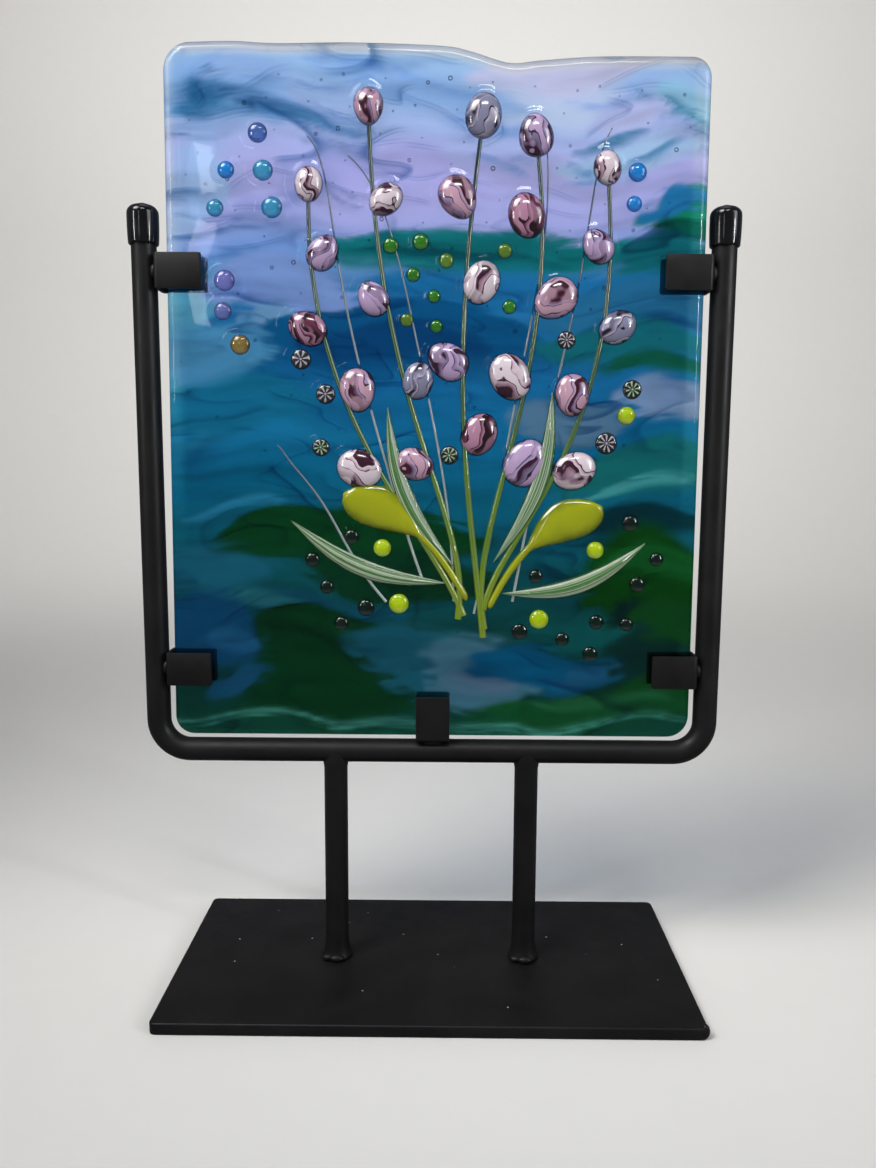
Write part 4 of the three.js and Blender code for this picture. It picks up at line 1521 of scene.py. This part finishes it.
def add_camera(settings):
    camera = bpy.data.cameras.new("view")
    camera.lens = settings.lens
    camera.sensor_width = 36
    camera.clip_start = 0.02
    pitch, yaw, roll = (math.radians(CAMERA[name]) for name in ("pitch", "yaw", "roll"))
    turn = Matrix.Rotation(-yaw, 4, "Z") @ Matrix.Rotation(math.pi / 2 - pitch, 4, "X")
    holder = link(bpy.data.objects.new("view", camera))
    holder.matrix_world = Matrix.Translation(Vector(CAMERA["at"]) * MM) @ turn @ Matrix.Rotation(roll, 4, "Z")
    bpy.context.scene.camera = holder


AIM = (0, 0, 0.28)
# Soft rectangular lamps: place, aim, size, power, spread in degrees and tint
LAMPS = {
    "key": ((-0.7, -0.6, 1.3), AIM, (0.7, 0.7), 1.8, 50, (1, 1, 1)),
    "ceiling": ((0.05, 0.3, 1.7), (0.05, 0.3, 0), (1.0, 0.9), 0.4, 75, (1, 1, 1)),
    "fill": ((1.2, -0.7, 0.9), AIM, (0.7, 0.7), 0.6, 50, (0.88, 0.94, 1)),
    "back wash": ((0, 0.6, 2.3), (0, 2.3, 0.9), (1.8, 0.6), 21, 110, (1, 1, 1)),
    "window": ((-0.34, -0.93, 0.58), (-0.1, 0, 0.37), (0.03, 0.27), 0.2, 180, (1, 1, 1)),
    "left strip": ((-0.75, -0.5, 0.5), (-0.1, 0, 0.38), (0.03, 0.3), 0.16, 60, (1, 1, 1)),
    "right strip": ((0.8, -0.5, 0.45), (0.1, 0, 0.3), (0.03, 0.3), 0.26, 60, (1, 1, 1)),
    "top strip": ((0.1, -0.75, 1.15), (0, 0, 0.4), (0.4, 0.1), 0.35, 60, (1, 1, 1)),
}


def add_lamps():
    """Hang the lamps. The camera doesn't see them."""
    for name, (at, aim, size, power, spread, tint) in LAMPS.items():
        light = bpy.data.lights.new(name, "AREA")
        light.shape = "RECTANGLE"
        light.size, light.size_y = size
        light.energy = power
        light.color = tint
        light.spread = math.radians(spread)
        lamp = link(bpy.data.objects.new(name, light))
        lamp.location = at
        lamp.rotation_mode = "QUATERNION"
        lamp.rotation_quaternion = (Vector(aim) - Vector(at)).to_track_quat("-Z", "Y")
        lamp.visible_camera = False


def paper_finish(settings):
    finish = Finish("studio_paper")
    grain = finish.noise(finish.place(), 60, 4)
    tint = finish.mix(grain, settings.paper, [0.97 * value for value in settings.paper])
    finish.set(base_color=tint, roughness=0.9, specular_ior_level=0.2)
    return finish.material


def build_stage(settings):
    """A round floor that sweeps up into a backdrop, soft lamps and the camera."""
    reach = settings.reach
    start, cove, wall = 0.4, 0.9, 2.4
    fresh()
    bpy.ops.mesh.primitive_circle_add(vertices=96, radius=start, fill_type="TRIFAN")
    floor = named("studio_floor")
    edit(floor)
    pick("edges", lambda edge: len(edge.link_faces) == 1)
    sweep = [
        (reach - cove + cove * math.sin(turn), cove * (1 - math.cos(turn)))
        for turn in np.linspace(0, math.pi / 2, 13)
    ]
    draw_rings([(start, 0), *sweep, (reach, wall)])
    leave()
    only(floor)
    bpy.ops.object.shade_smooth()
    floor.data.materials.append(paper_finish(settings))
    floor.visible_glossy = False
    add_lamps()
    world = bpy.data.worlds.new("room")
    world.use_nodes = True
    world.node_tree.nodes["Background"].inputs[0].default_value = (*settings.world, 1)
    bpy.context.scene.world = world
    bpy.context.scene.view_settings.view_transform = "Standard"
    add_camera(settings)


class BuildStage(bpy.types.Operator):
    """Lay the pale floor and backdrop, hang the lamps and set up the camera"""

    bl_idname = "glass_panel.stage"
    bl_label = "Studio"

    def execute(self, context):
        build_stage(context.scene.studio)
        return {"FINISHED"}


BUILDERS = (BuildBase, BuildBar, BuildCaps, BuildUprights, BuildClips, BuildSheet, BuildDesign, BuildStage)


class GlassPanelSidebar(bpy.types.Panel):
    """The sidebar's list of what can be built"""

    bl_idname = "VIEW3D_PT_glass_panel"
    bl_label = "Glass panel on a stand"
    bl_space_type = "VIEW_3D"
    bl_region_type = "UI"
    bl_category = "Glass panel"

    def draw(self, context):
        for builder in BUILDERS:
            self.layout.operator(builder.bl_idname)


SETTINGS = {"stand": StandSettings, "panel": PanelSettings, "studio": StageSettings}


def register():
    for kind in (*SETTINGS.values(), *BUILDERS, GlassPanelSidebar):
        bpy.utils.register_class(kind)
    for name, kind in SETTINGS.items():
        setattr(bpy.types.Scene, name, PointerProperty(type=kind))


def unregister():
    for name in SETTINGS:
        delattr(bpy.types.Scene, name)
    for kind in reversed((*SETTINGS.values(), *BUILDERS, GlassPanelSidebar)):
        bpy.utils.unregister_class(kind)


def main():
    register()
    for builder in BUILDERS:
        family, name = builder.bl_idname.split(".")
        getattr(getattr(bpy.ops, family), name)()


if __name__ == "__main__":
    main()
